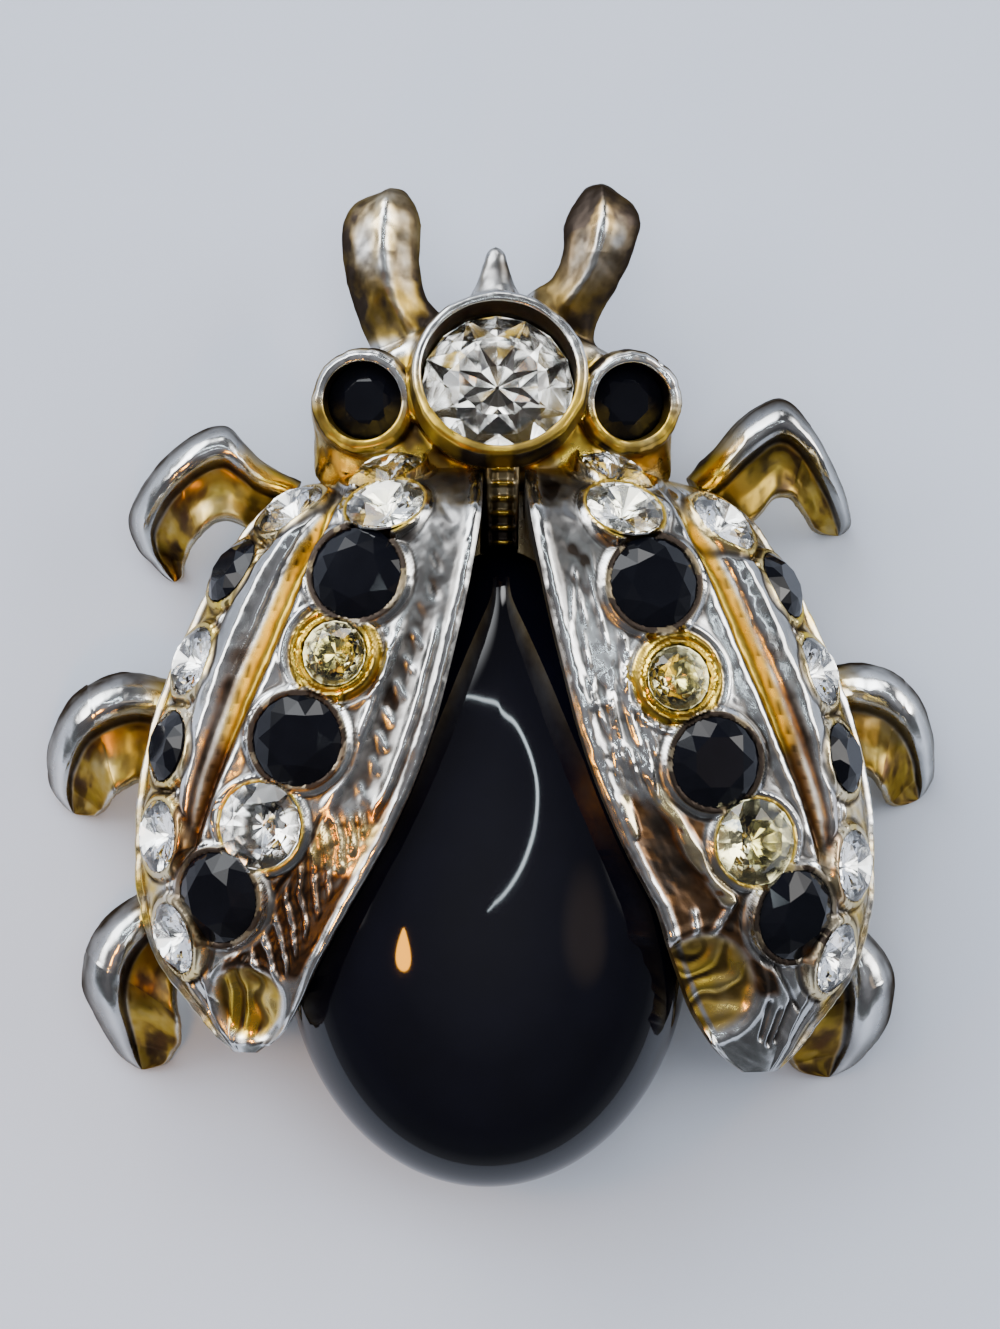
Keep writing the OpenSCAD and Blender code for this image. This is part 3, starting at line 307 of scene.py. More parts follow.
class MetalSettings(bpy.types.PropertyGroup):
    silver: colour("Silver", "Silver-coloured plating", (0.70, 0.71, 0.71))
    gold: colour("Gold", "Gilt showing in the hollows", (0.62, 0.42, 0.055))
    # The coppery colour is worn plating and also a painted warm reflection on the lower wing bands.
    copper_and_reflection: colour("Copper", "Warm worn plating", (0.31, 0.155, 0.06))
    # The tarnish colour is also painted shade in dips, creases, grooves, seats and undersides, and
    # painted dark reflection on the lower wing bands and the legs' outer slopes.
    tarnish_and_shade: colour("Tarnish", "Dark tarnish in the hollows", (0.035, 0.027, 0.022))


class StageSettings(bpy.types.PropertyGroup):
    floor: colour("Floor", "Colour of the floor", (0.43, 0.475, 0.575))
    arc_power: FloatProperty(name="Arc light", description="Strength of the curved strip light",
                             default=26.0, min=0.0, max=500.0)
    focal: FloatProperty(name="Lens", description="Focal length of the camera", default=125.5,
                         min=20.0, max=300.0, subtype="DISTANCE_CAMERA", unit="CAMERA")


SETTINGS = {
    "brooch_wing": WingSettings, "brooch_leg": LegSettings, "brooch_head": HeadSettings,
    "brooch_cabochon": CabochonSettings, "brooch_stone": StoneSettings,
    "brooch_metal": MetalSettings, "brooch_stage": StageSettings,
}


# Form helpers, in millimetres
def smoothstep(low, high, x):
    t = np.clip((x - low) / (high - low), 0, 1)
    return t * t * (3 - 2 * t)


def ridge(x, middle, half):
    """Rounded bump of height 1 around a middle value."""
    t = np.clip(np.abs(x - middle) / half, 0, 1)
    return (1 - t * t) ** 2


def mottle(x, y, seed, octaves=3):
    """Seeded smooth noise, about -1 to 1, over two arrays."""
    rng = np.random.default_rng(SEED * 1000 + seed)
    x, y = np.broadcast_arrays(x, y)
    total, weight, scale = np.zeros(x.shape), 0.0, 1.0
    for octave in range(octaves):
        lattice = rng.uniform(-1, 1, (61, 61))
        px, py = x * scale + 17.3 * octave, y * scale + 5.1 * octave
        ix, iy = np.floor(px).astype(int), np.floor(py).astype(int)
        fx, fy = px - ix, py - iy
        fx, fy = fx * fx * (3 - 2 * fx), fy * fy * (3 - 2 * fy)
        a, b = lattice[ix % 61, iy % 61], lattice[(ix + 1) % 61, iy % 61]
        c, d = lattice[ix % 61, (iy + 1) % 61], lattice[(ix + 1) % 61, (iy + 1) % 61]
        total += ((a * (1 - fx) + b * fx) * (1 - fy) + (c * (1 - fx) + d * fx) * fy) / scale
        weight += 1 / scale
        scale *= 2
    return total / weight * 1.6


def smooth_column(table, column, x):
    """The smooth curve of the part's source through one column of a table."""
    xs, ys = table[:, 0], table[:, column]
    i = np.clip(np.searchsorted(xs, x, side="right") - 1, 0, len(xs) - 2)
    a, b = np.maximum(np.arange(len(xs)) - 1, 0), np.minimum(np.arange(len(xs)) + 1, len(xs) - 1)
    slope = (ys[b] - ys[a]) / (xs[b] - xs[a])
    h = xs[i + 1] - xs[i]
    t = (x - xs[i]) / h
    return (ys[i] * (1 + 2 * t) * (1 - t) ** 2 + slope[i] * h * t * (1 - t) ** 2
            + ys[i + 1] * t * t * (3 - 2 * t) + slope[i + 1] * h * t * t * (t - 1))


def wing_form(wing, v, u):
    """Edges, heights, way across and nearness to the front at places on a wing case."""
    inner = wing["reach"] * (smooth_column(WING_SECTIONS, 1, v)
                             - wing["flare"] * smooth_column(TIP_FLARE, 1, v))
    outer = wing["reach"] * smooth_column(WING_SECTIONS, 2, v)
    top = CROWN_RISE * smooth_column(WING_SECTIONS, 3, v)
    side = CROWN_RISE * smooth_column(WING_SECTIONS, 4, v)
    return inner, outer, top, side, np.sin(np.pi / 2 * u), np.maximum(0, 1 - v / 0.2)


def wing_point(wing, v, u):
    """Place on the plain upper face: v runs to the tail, u from the inner to the outer edge."""
    inner, outer, top, side, across, front = wing_form(wing, v, u)
    return np.stack(np.broadcast_arrays(
        inner + (outer - inner) * across,
        -wing["length"] * v - S["front_sweep"] * front * across ** 2,
        S["rim_z"] + side + (top - side) * np.cos(np.pi / 2 * u)), axis=-1)


def wing_under(wing, v, u):
    """Place on the lower face, a wall's thickness inside the upper one."""
    inner, outer, top, side, across, front = wing_form(wing, v, u)
    wall = np.minimum(S["wing_wall"], 0.4 * (outer - inner))
    return np.stack(np.broadcast_arrays(
        inner + (outer - wall - inner) * across,
        -wing["length"] * v - front * (wall + S["front_sweep"] * across ** 2),
        S["rim_z"] + side + np.maximum(0, top - wall - side) * np.cos(np.pi / 2 * u)), axis=-1)


def wing_normal(wing, v, u, step=0.002):
    back = (wing_point(wing, np.minimum(v + step, 1), u)
            - wing_point(wing, np.maximum(v - step, 0), u))
    out = (wing_point(wing, v, np.minimum(u + step, 1))
           - wing_point(wing, v, np.maximum(u - step, 0)))
    n = np.cross(back, out)
    return n / np.linalg.norm(n, axis=-1, keepdims=True)


def stone_frame(wing, place):
    """Centre and outward axis of a stone, in the wing's own frame."""
    v, u, lean, turn, lift = [np.array(float(x)) for x in place]
    n = wing_normal(wing, v, u)
    centre = wing_point(wing, v, u) + n * lift
    pole = math.acos(n[2]) + math.radians(lean)
    azimuth = math.atan2(n[1], n[0]) + math.radians(turn)
    axis = np.array([math.sin(pole) * math.cos(azimuth), math.sin(pole) * math.sin(azimuth),
                     math.cos(pole)])
    return centre, axis


def to_world(wing, points):
    """From a wing's own frame to the brooch."""
    out = points.copy()
    out[..., 0] = S["seam_x"] + wing["mirror"] * points[..., 0]
    out[..., 1] += S["wing_front"]
    return out


def link_object(name, data):
    made = bpy.data.objects.new(name, data)
    bpy.context.collection.objects.link(made)
    return made


def link_mesh(name, points, faces):
    """Makes a mesh object from points in millimetres."""
    mesh = bpy.data.meshes.new(name)
    mesh.from_pydata((np.asarray(points) * MM).tolist(), [], faces)
    mesh.update()
    return link_object(name, mesh)


def link_work(name, work):
    """Makes a mesh object from a bmesh, its faces all turned outwards, and frees the bmesh."""
    bmesh.ops.recalc_face_normals(work, faces=work.faces)
    mesh = bpy.data.meshes.new(name)
    work.to_mesh(mesh)
    work.free()
    return link_object(name, mesh)


def correct_normals(mesh):
    work = bmesh.new()
    work.from_mesh(mesh)
    bmesh.ops.recalc_face_normals(work, faces=work.faces)
    work.to_mesh(mesh)
    work.free()


def ring_faces(rings, count, closed=False):
    """Faces between rings of points; closed joins the last ring to the first."""
    return [(i * count + j, i * count + (j + 1) % count,
             (i + 1) % rings * count + (j + 1) % count, (i + 1) % rings * count + j)
            for i in range(rings if closed else rings - 1) for j in range(count)]


def grid_corners(rows, columns, first=0):
    """Number of one corner of each face in a grid of points."""
    i, j = np.meshgrid(np.arange(rows - 1), np.arange(columns - 1), indexing="ij")
    return first + (i * columns + j).ravel()


def end_caps(rings, count):
    return [tuple(range(count)), tuple(range(rings * count - 1, (rings - 1) * count - 1, -1))]


def new_piece(name, points, faces, replaced, material, plating=None, angle=40):
    """Makes a mesh object from millimetres, with its finish masks, riding on the brooch."""
    piece = link_mesh(name, points, faces)
    if plating is not None:
        set_plating(piece.data, plating)
    correct_normals(piece.data)
    finish_piece(piece, replaced, material, angle)
    return piece


def set_plating(mesh, plating):
    """Stores masks of gold, coppery plating with painted reflection, tarnish with painted shade,
    and polish with painted highlight as one colour attribute.
    """
    layer = mesh.color_attributes.new("plating", "FLOAT_COLOR", "POINT")
    values = np.zeros((len(mesh.vertices), 4), dtype=np.float32)
    values[:, :plating.shape[1]] = np.clip(plating, 0, 1)
    layer.data.foreach_set("color", values.ravel())


def select_only(piece):
    bpy.ops.object.select_all(action="DESELECT")
    bpy.context.view_layer.objects.active = piece
    piece.select_set(True)


def finish_piece(piece, replaced, material, angle):
    """Gives a piece its material, smooth shading and body, and hides the nodes that it replaces."""
    piece.data.materials.clear()
    piece.data.materials.append(material)
    select_only(piece)
    bpy.ops.object.shade_smooth_by_angle(angle=math.radians(angle))
    piece.select_set(False)
    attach(piece, "root")
    if replaced:
        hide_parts(*replaced)


def apply_modifiers(piece):
    select_only(piece)
    for modifier in list(piece.modifiers):
        bpy.ops.object.modifier_apply(modifier=modifier.name)


def add_boolean(piece, operation, other):
    boolean = piece.modifiers.new("boolean", "BOOLEAN")
    boolean.operation, boolean.object, boolean.solver = operation, other, "EXACT"


def join_all(parts):
    """Unites some parts into the first one."""
    for other in parts[1:]:
        add_boolean(parts[0], "UNION", other)
    apply_modifiers(parts[0])
    for other in parts[1:]:
        bpy.data.objects.remove(other)
    return parts[0]


def fuse_and_soften(piece, voxel, rounds):
    """Fuses overlapping forms into one surface and softens it."""
    fuse = piece.modifiers.new("fuse", "REMESH")
    fuse.mode, fuse.voxel_size, fuse.adaptivity = "VOXEL", voxel, 0.0
    soften = piece.modifiers.new("soften", "SMOOTH")
    soften.factor, soften.iterations = 0.5, rounds
    apply_modifiers(piece)


def mesh_points(mesh):
    points = np.empty(len(mesh.vertices) * 3)
    mesh.vertices.foreach_get("co", points)
    return points.reshape(-1, 3) / MM


def mesh_normals(mesh):
    normals = np.empty(len(mesh.vertices) * 3)
    mesh.vertex_normals.foreach_get("vector", normals)
    return normals.reshape(-1, 3)


def hollowness(mesh, rounds):
    """How hollow the surface is at each vertex, in millimetres; ridges come out negative."""
    points = mesh_points(mesh)
    ends = np.empty(len(mesh.edges) * 2, dtype=int)
    mesh.edges.foreach_get("vertices", ends)
    a, b = ends.reshape(-1, 2).T
    count = np.bincount(np.concatenate([a, b]), minlength=len(points))[:, None]
    smooth = points.copy()
    for _ in range(rounds):
        total = np.zeros_like(smooth)
        np.add.at(total, a, smooth[b])
        np.add.at(total, b, smooth[a])
        smooth = 0.5 * smooth + 0.5 * total / np.maximum(count, 1)
    return ((smooth - points) * mesh_normals(mesh)).sum(1)


def cabochon_outline(angle):
    """Pear shape round the cabochon's middle, with a flatter tail and a long drawn tip."""
    c, s = np.cos(angle), np.sin(angle)
    half = CABOCHON["width"] / 2
    front = np.stack([half * np.sign(c) * np.abs(c) ** CABOCHON["taper"] + CABOCHON["drift"] * s,
                      CABOCHON["tip"] * s], -1)
    back = np.stack([half * c, CABOCHON["tail"] * s], -1)
    return np.where((s < 0)[..., None], back, front)


def cabochon_height(x, y):
    """Height of the dome's surface over a place, or 0 outside it."""
    fine = cabochon_outline(np.linspace(0, 2 * np.pi, 721)[:-1]) - [0, CABOCHON["apex"]]
    bearing = np.arctan2(fine[:, 1], fine[:, 0])
    order = np.argsort(bearing)
    radius = np.linalg.norm(fine, axis=1)[order]
    px, py = x - CABOCHON["x"], y - CABOCHON["y"] - CABOCHON["apex"]
    edge = np.interp(np.arctan2(py, px), bearing[order], radius, period=2 * np.pi)
    part = np.hypot(px, py) / edge
    rise = np.sqrt(np.clip(1 - part ** 2, 0, 1))
    base = S["rim_z"] + CABOCHON["edge"]
    return np.where(part < 1, base + CABOCHON["dome"] * rise, 0)


# Wing cases
def most(*masks):
    """The strongest of several masks at each place."""
    return np.maximum.reduce(np.broadcast_arrays(*masks))


def add_strokes(height, along, across, marks, depth):
    """Adds elongated dents, or bars where the strength is negative, to a height field."""
    for t, s, long, wide, angle, strength in marks:
        near = (np.abs(along - t) < 1.6 * long) & (np.abs(across - s) < 1.6 * long)
        dt, ds = (along - t)[near], (across - s)[near]
        c, n = math.cos(angle), math.sin(angle)
        a, b = (dt * c + ds * n) / long, (-dt * n + ds * c) / wide
        height[near] -= depth * strength * np.exp(-(a * a) ** 2 - b * b)


def line_distance(points, line):
    """Distance of each point to a broken line."""
    best = np.full(points.shape[:-1], FAR)
    for start, end in zip(line[:-1], line[1:]):
        start, way = np.array(start), np.array(end) - np.array(start)
        t = np.clip((points - start) @ way / (way @ way), 0, 1)
        best = np.minimum(best, np.linalg.norm(points - start - t[..., None] * way, axis=-1))
    return best


def seat_distance(g, place, size):
    """Distance of each station from the wall of a stone's seat, negative inside it."""
    centre, axis = stone_frame(g.wing, place)
    rel = g.base - centre
    depth = rel @ axis
    apart = np.linalg.norm(rel - depth[..., None] * axis, axis=-1)
    return np.where(np.abs(depth) < SEAT_REACH, apart - size / 2 - S["stone_gap"], FAR)


def wing_grid(side):
    """Stations of a wing case, with the distances and regions that its relief follows."""
    wing = WINGS[side]
    g = SimpleNamespace(side=side, wing=wing, copper_reflection_at=wing["copper_reflection_from"])
    g.v = v = (np.linspace(0, 1, WING_ROWS) ** 1.15)[:, None]
    g.u = u = np.linspace(0, 1, WING_COLUMNS)[None, :]
    g.base, g.normal = wing_point(wing, v, u), wing_normal(wing, v, u)
    g.world = to_world(wing, g.base)[..., :2]
    steps = np.linalg.norm(np.diff(g.base, axis=1), axis=-1)
    g.across = np.concatenate([np.zeros((WING_ROWS, 1)), np.cumsum(steps, axis=1)], axis=1)
    g.along = np.broadcast_to(v * wing["length"], g.across.shape)
    g.lines = [smooth_column(WING_LINES, k, v[:, 0]) for k in range(1, 5)]
    g.band_edge, g.groove_edge, g.foot_edge = (
        np.array([[np.interp(line[i], u[0], g.across[i])] for i in range(WING_ROWS)])
        for line in g.lines[:3])
    g.strength = np.clip(np.minimum(v / 0.05, (1 - v) / 0.05), 0, 1)

    g.inner = [seat_distance(g, p, size) for p, size in zip(wing["inner"], INNER_SIZES)]
    g.outer = [seat_distance(g, p, OUTER_SIZE) for p in wing["outer"]]
    g.cup = g.inner[TINTED_PLACE]
    g.by_cup = np.abs(v - wing["inner"][TINTED_PLACE][0]) < 0.15
    stations = [int(np.argmin(np.abs(v[:, 0] - p[0]))) for p in wing["inner"]]
    places = [np.interp(p[1], u[0], g.across[i]) for p, i in zip(wing["inner"], stations)]
    g.middle = np.interp(v[:, 0], [p[0] for p in wing["inner"]], places)[:, None]
    g.in_row = smoothstep(0.0, 0.03, v) * (1 - smoothstep(0.76, 0.80, v))
    channel = np.abs(g.across - g.middle) - CHANNEL_HALF + (1 - g.in_row) * 4
    near = np.minimum.reduce(g.inner)
    g.hollow = np.minimum(near, channel + CHANNEL_EASE)
    blend = np.clip(1 - np.abs(near - channel - CHANNEL_EASE) / CHANNEL_BLEND, 0, 1)
    g.hollow -= CHANNEL_BLEND * blend ** 2 / 4

    g.on_band = smoothstep(0.30, 0.55, g.across) * smoothstep(0.22, 0.42, g.hollow)
    band_end = np.maximum(g.band_edge + 1.4, g.middle + 0.4)
    g.on_band = g.on_band * (1 - smoothstep(-0.35, 0.1, g.across - band_end))
    g.waves = mottle(g.along * 0.9, g.across * 1.3, 11 if side == "left" else 12)
    g.fine = mottle(g.along * 2.2, g.across * 3.4, 13, 2)
    g.whole = (g.across - 0.5) / np.maximum(g.middle - BAND_TO_ROW, 0.6)
    g.part = np.clip(g.whole, 0, 1)
    g.upper = 1 - smoothstep(g.copper_reflection_at - 0.05, g.copper_reflection_at + 0.02, v)
    g.lower = (smoothstep(g.copper_reflection_at - 0.02, g.copper_reflection_at + 0.03, v)
               * (1 - smoothstep(0.86, 0.89, v)))
    return g


def station_relief(g, settings):
    """Lips, groove and rib across each station, then rounded."""
    lip, rib_h = settings.lip / MM, settings.rib / MM
    groove_h, low = settings.groove / MM, -settings.channel / MM
    height = np.zeros_like(g.across)
    for i in range(WING_ROWS):
        band, groove, foot, rib = (line[i] for line in g.lines)
        rib = max(0.0, rib)
        gap = foot - groove
        knots = [
            (0, 0), (0.012, lip), (0.030, lip * 0.8), (0.042, -0.1 * lip),
            (band / 2, -0.25 * lip), (band, 0), (groove - 0.075, 0), (groove - 0.045, 0.9 * lip),
            (groove - 0.028, 0.9 * lip), (groove - 0.012, -0.2 * groove_h),
            (groove + min(0.008, 0.05 * gap), -groove_h * rib),
            (groove + min(0.035, 0.17 * gap), -groove_h * rib),
            (groove + 0.28 * gap, 0.55 * rib_h * rib), (groove + 0.48 * gap, rib_h * rib),
            (groove + 0.70 * gap, 0.88 * rib_h * rib), (groove + 0.88 * gap, 0.45 * rib_h * rib),
            (foot, -0.05), (foot + 0.014, 0.8 * lip), (foot + 0.026, -0.05),
            (foot + 0.040, 0.7 * lip), (foot + 0.055, 0.6 * low),
            (0.930, 0.6 * low), (0.950, 0.8 * lip), (0.975, 0.3 * lip), (1.0, 0)]
        height[i] = np.interp(g.u[0], *zip(*knots))
    kernel = np.array([1, 3, 4, 3, 1]) / 12
    padded = np.pad(height, ((0, 0), (2, 2)), mode="edge")
    height = sum(kernel[k] * padded[:, k:k + WING_COLUMNS] for k in range(len(kernel)))
    return height * g.strength


def band_marks(g, depth):
    """Dents of the left band; dents and raised veins of the right one."""
    rng = np.random.default_rng(SEED + (1 if g.side == "right" else 0))
    if g.side == "left":
        row = [2.0 + 0.82 * k for k in range(13)]
        middle = np.interp(np.array(row) / g.wing["length"], g.v[:, 0], g.middle[:, 0])
        deep = 0.5 + 0.44 * (middle - BAND_TO_ROW)
        marks = [(t, deep[k] + 0.12 * rng.uniform(-1, 1), 0.40, 0.12, -0.62,
                  rng.uniform(0.6, 1.0) * (1 if k < 5 else -1.5)) for k, t in enumerate(row)]
        marks += [(1.6 + 1.6 * k, 1.7 + 0.3 * rng.uniform(-1, 1), 0.55, 0.22, -0.5,
                   rng.uniform(0.3, 0.7)) for k in range(6)]
    else:
        marks = [(1.4 + 0.62 * k, 1.2 + 0.5 * rng.uniform(-1, 1), 0.45, 0.14,
                  rng.uniform(0.5, 0.9) * (1 if k % 2 else -1), rng.uniform(0.3, 0.8))
                 for k in range(6)]
        marks += [(rng.uniform(4.6, 12.6), rng.uniform(0.7, 2.7), rng.uniform(0.55, 1.3),
                   rng.uniform(0.05, 0.09), rng.uniform(-0.30, 0.16), -rng.uniform(0.7, 1.3))
                  for k in range(44)]
    field = np.zeros_like(g.across)
    add_strokes(field, g.along, g.across, marks, depth)
    return field


def band_relief(g, settings):
    """Waves, dents and crests on the upper band, slanting bars or streaks on the lower one."""
    v, part, waves, fine = g.v, g.part, g.waves, g.fine
    g.marks = band_marks(g, settings.stroke / MM)
    g.strokes = np.clip(g.marks / (settings.stroke / MM), 0, 1)
    slant = g.along + 1.43 * g.across
    bars = ridge((slant / g.wing["bar_pitch"] + 0.16 * waves) % 1.0, 0.5, 0.30)
    g.bars = bars * smoothstep(0.08, 0.22, part) * (1 - smoothstep(0.66, 0.80, part))
    if g.side == "left":
        below_top = smoothstep(0.25, 0.33, v)
        g.trough = below_top * ridge(part, 0.46, 0.30)
        g.crest = below_top * (ridge(part, 0.80, 0.15) + 0.9 * ridge(part, 0.13, 0.12))
        high = 0.025 * waves - 0.18 * g.trough + 0.15 * g.crest
        low = (settings.bar / MM * g.bars - 0.12 * ridge(part, 0.42, 0.45)
               + 0.07 * ridge(part, 0.93, 0.09) - 0.10 * ridge(part, 0.82, 0.07) + 0.03 * fine)
    else:
        below_top = smoothstep(0.30, 0.42, v)
        g.trough = 0.55 * ridge(part, 0.50, 0.30) * below_top
        veined = smoothstep(0.05, 0.5, mottle(g.along * 0.8, g.across * 2.6, 14, 1))
        g.crest = most(g.strokes, 0.8 * below_top * veined)
        g.streak = np.zeros_like(g.across)
        for line, half in LIT_STREAKS:
            apart = line_distance(g.world, line) + 0.08 * waves
            g.streak = most(g.streak, 1 - smoothstep(0.35 * half, half, apart))
        high = 0.03 * waves + 0.04 * smoothstep(-0.3, 0.6, fine) * smoothstep(0.28, 0.4, v)
        low = 0.008 * fine + 0.02 * waves + 0.17 * g.streak - 0.14 * ridge(part, 0.4, 0.45)
    relief = g.upper * g.on_band * high
    relief += g.marks * g.on_band * g.upper
    relief += g.lower * g.on_band * low
    return relief * np.where(v > g.copper_reflection_at - 0.04, 1 - smoothstep(1.0, 1.12, g.whole), 1)


def tail_relief(g, settings, height):
    """Scooped hollow with grooves at the tip, and grooves and pale bars beside it."""
    v_place, u_place, half_a, half_b = g.wing["scoop"]
    centre, axis = stone_frame(g.wing, [v_place, u_place, 0, 0, 0])
    way = np.array(g.wing["tail_way"])
    way -= axis * (way @ axis)
    way /= np.linalg.norm(way)
    rel = g.base - centre
    a, b = rel @ np.cross(axis, way), rel @ way
    g.tail_part = b / half_b
    g.square = np.abs(a / half_a) ** 2.3 + np.abs((b + 0.05) / half_b) ** 2.3
    g.by_tail = g.v > TAIL_FROM
    g.scoop = (1 - smoothstep(0.55, 1.0, g.square)) * g.by_tail
    if g.side == "left":
        g.grooves = np.cos(a * 6 + 1.4 * b + 3.6 * mottle(a * 0.9, b * 0.7, 31, 2))
    else:
        g.grooves = np.cos(7.5 * np.hypot(a, 0.8 * (b + 1.7))
                           + 2.6 * mottle(a * 0.8, b * 0.8, 32, 2))
    rim = ridge(g.square, 1.12, 0.30) * g.by_tail * (g.v < 0.985)
    bowl = -settings.scoop / MM * (1 - 0.75 * g.square.clip(0, 1))
    height = height * (1 - g.scoop) + g.scoop * bowl
    height += g.scoop * 0.06 * g.grooves + 0.07 * rim
    g.strip, g.pale = np.zeros_like(height), np.zeros_like(height)
    if g.side == "right":
        for line in TAIL_GROOVES:
            g.strip = most(g.strip, np.exp(-(line_distance(g.world, line) / 0.085) ** 2))
        for line in PALE_BARS:
            g.pale = most(g.pale, np.exp(-(line_distance(g.world, line) / 0.13) ** 2))
        height -= 0.12 * g.strip * (1 - g.scoop)
        height += 0.12 * g.pale * (1 - g.scoop)
    return height


def raise_collar(g, height, place, lift, collar):
    """Fills the surface up to a flat collar across a stone's axis."""
    centre, axis = stone_frame(g.wing, place)
    level = (lift - (g.base - centre) @ axis) / np.maximum(g.normal @ axis, 0.4)
    return np.where((collar > 0) & (level > height), height + (level - height) * collar, height)


def stone_relief(g, settings, height):
    """Channel, lips, seats and collars round the stones, and the tinted stone's raised cup."""
    low = -settings.channel / MM
    edge = ridge(g.hollow, 0.13, 0.14) * g.in_row * (1 - g.scoop)
    height = np.where(g.hollow < 0.02, low, height * smoothstep(0.0, 0.16, g.hollow)
                      + low * (1 - smoothstep(-0.02, 0.10, g.hollow)))
    height += 0.11 * edge
    ring = smoothstep(-0.01, 0.03, g.cup) * (1 - smoothstep(0.27, 0.55, g.cup)) * g.by_cup
    ring_height = low + (CUP_HEIGHT - low) * ring - 0.10 * ridge(g.cup, 0.17, 0.07)
    height = np.maximum(height, np.where(ring > 0.01, ring_height, -FAR))
    height += 0.07 * ridge(g.cup, 0.68, 0.14) * g.by_cup
    front = g.inner[0]
    height = np.maximum(height, np.where((front > -0.01) & (front < 0.35) & (g.v < 0.09),
                                         0.12 * (1 - smoothstep(0.22, 0.35, front)), -FAR))
    for apart in g.outer:
        height += 0.09 * ridge(apart, 0.11, 0.13)
        height = np.where((apart > 0) & (apart < 0.5),
                          height - 0.05 * ridge(apart, 0.34, 0.12), height)
    seat = np.zeros_like(height)
    for apart, size in zip(g.inner + g.outer, INNER_SIZES + [OUTER_SIZE] * len(g.outer)):
        r = size / 2 + S["stone_gap"]
        inside = np.clip(-apart / r, 0, 1)
        depth = np.minimum(0.10 + 0.56 * r * inside + 0.02, 0.92)
        seat = np.where(apart < 0, np.minimum(seat, -depth * smoothstep(0, 0.07, -apart)), seat)
        height = np.where(apart < 0, np.minimum(height, seat), height)
    for k, place in enumerate(g.wing["inner"]):
        if k == TINTED_PLACE:
            continue
        lift, start = (0.14, -0.24) if INNER_KINDS[k] == "black" else (0.05, -0.13)
        others = np.minimum.reduce([g.inner[j] for j in range(len(g.inner)) if j != k])
        collar = smoothstep(start, start + 0.07, g.inner[k])
        collar = collar * (1 - smoothstep(0.02, 0.14, g.inner[k]))
        collar = collar * smoothstep(-0.06, 0.05, others) * (g.inner[k] < 0.25)
        height = raise_collar(g, height, place, lift, collar)
    for place, apart in zip(g.wing["outer"], g.outer):
        collar = smoothstep(-0.12, -0.06, apart) * (1 - smoothstep(0.05, 0.25, apart))
        height = raise_collar(g, height, place, 0.03, collar)
    return height


def surface_dip(height, rounds=14):
    """How far each place lies below its surroundings."""
    smooth = height
    for _ in range(rounds):
        padded = np.pad(smooth, 1, mode="edge")
        smooth = (padded[:-2, 1:-1] + padded[2:, 1:-1] + padded[1:-1, :-2] + padded[1:-1, 2:]) / 4
    return smooth - height


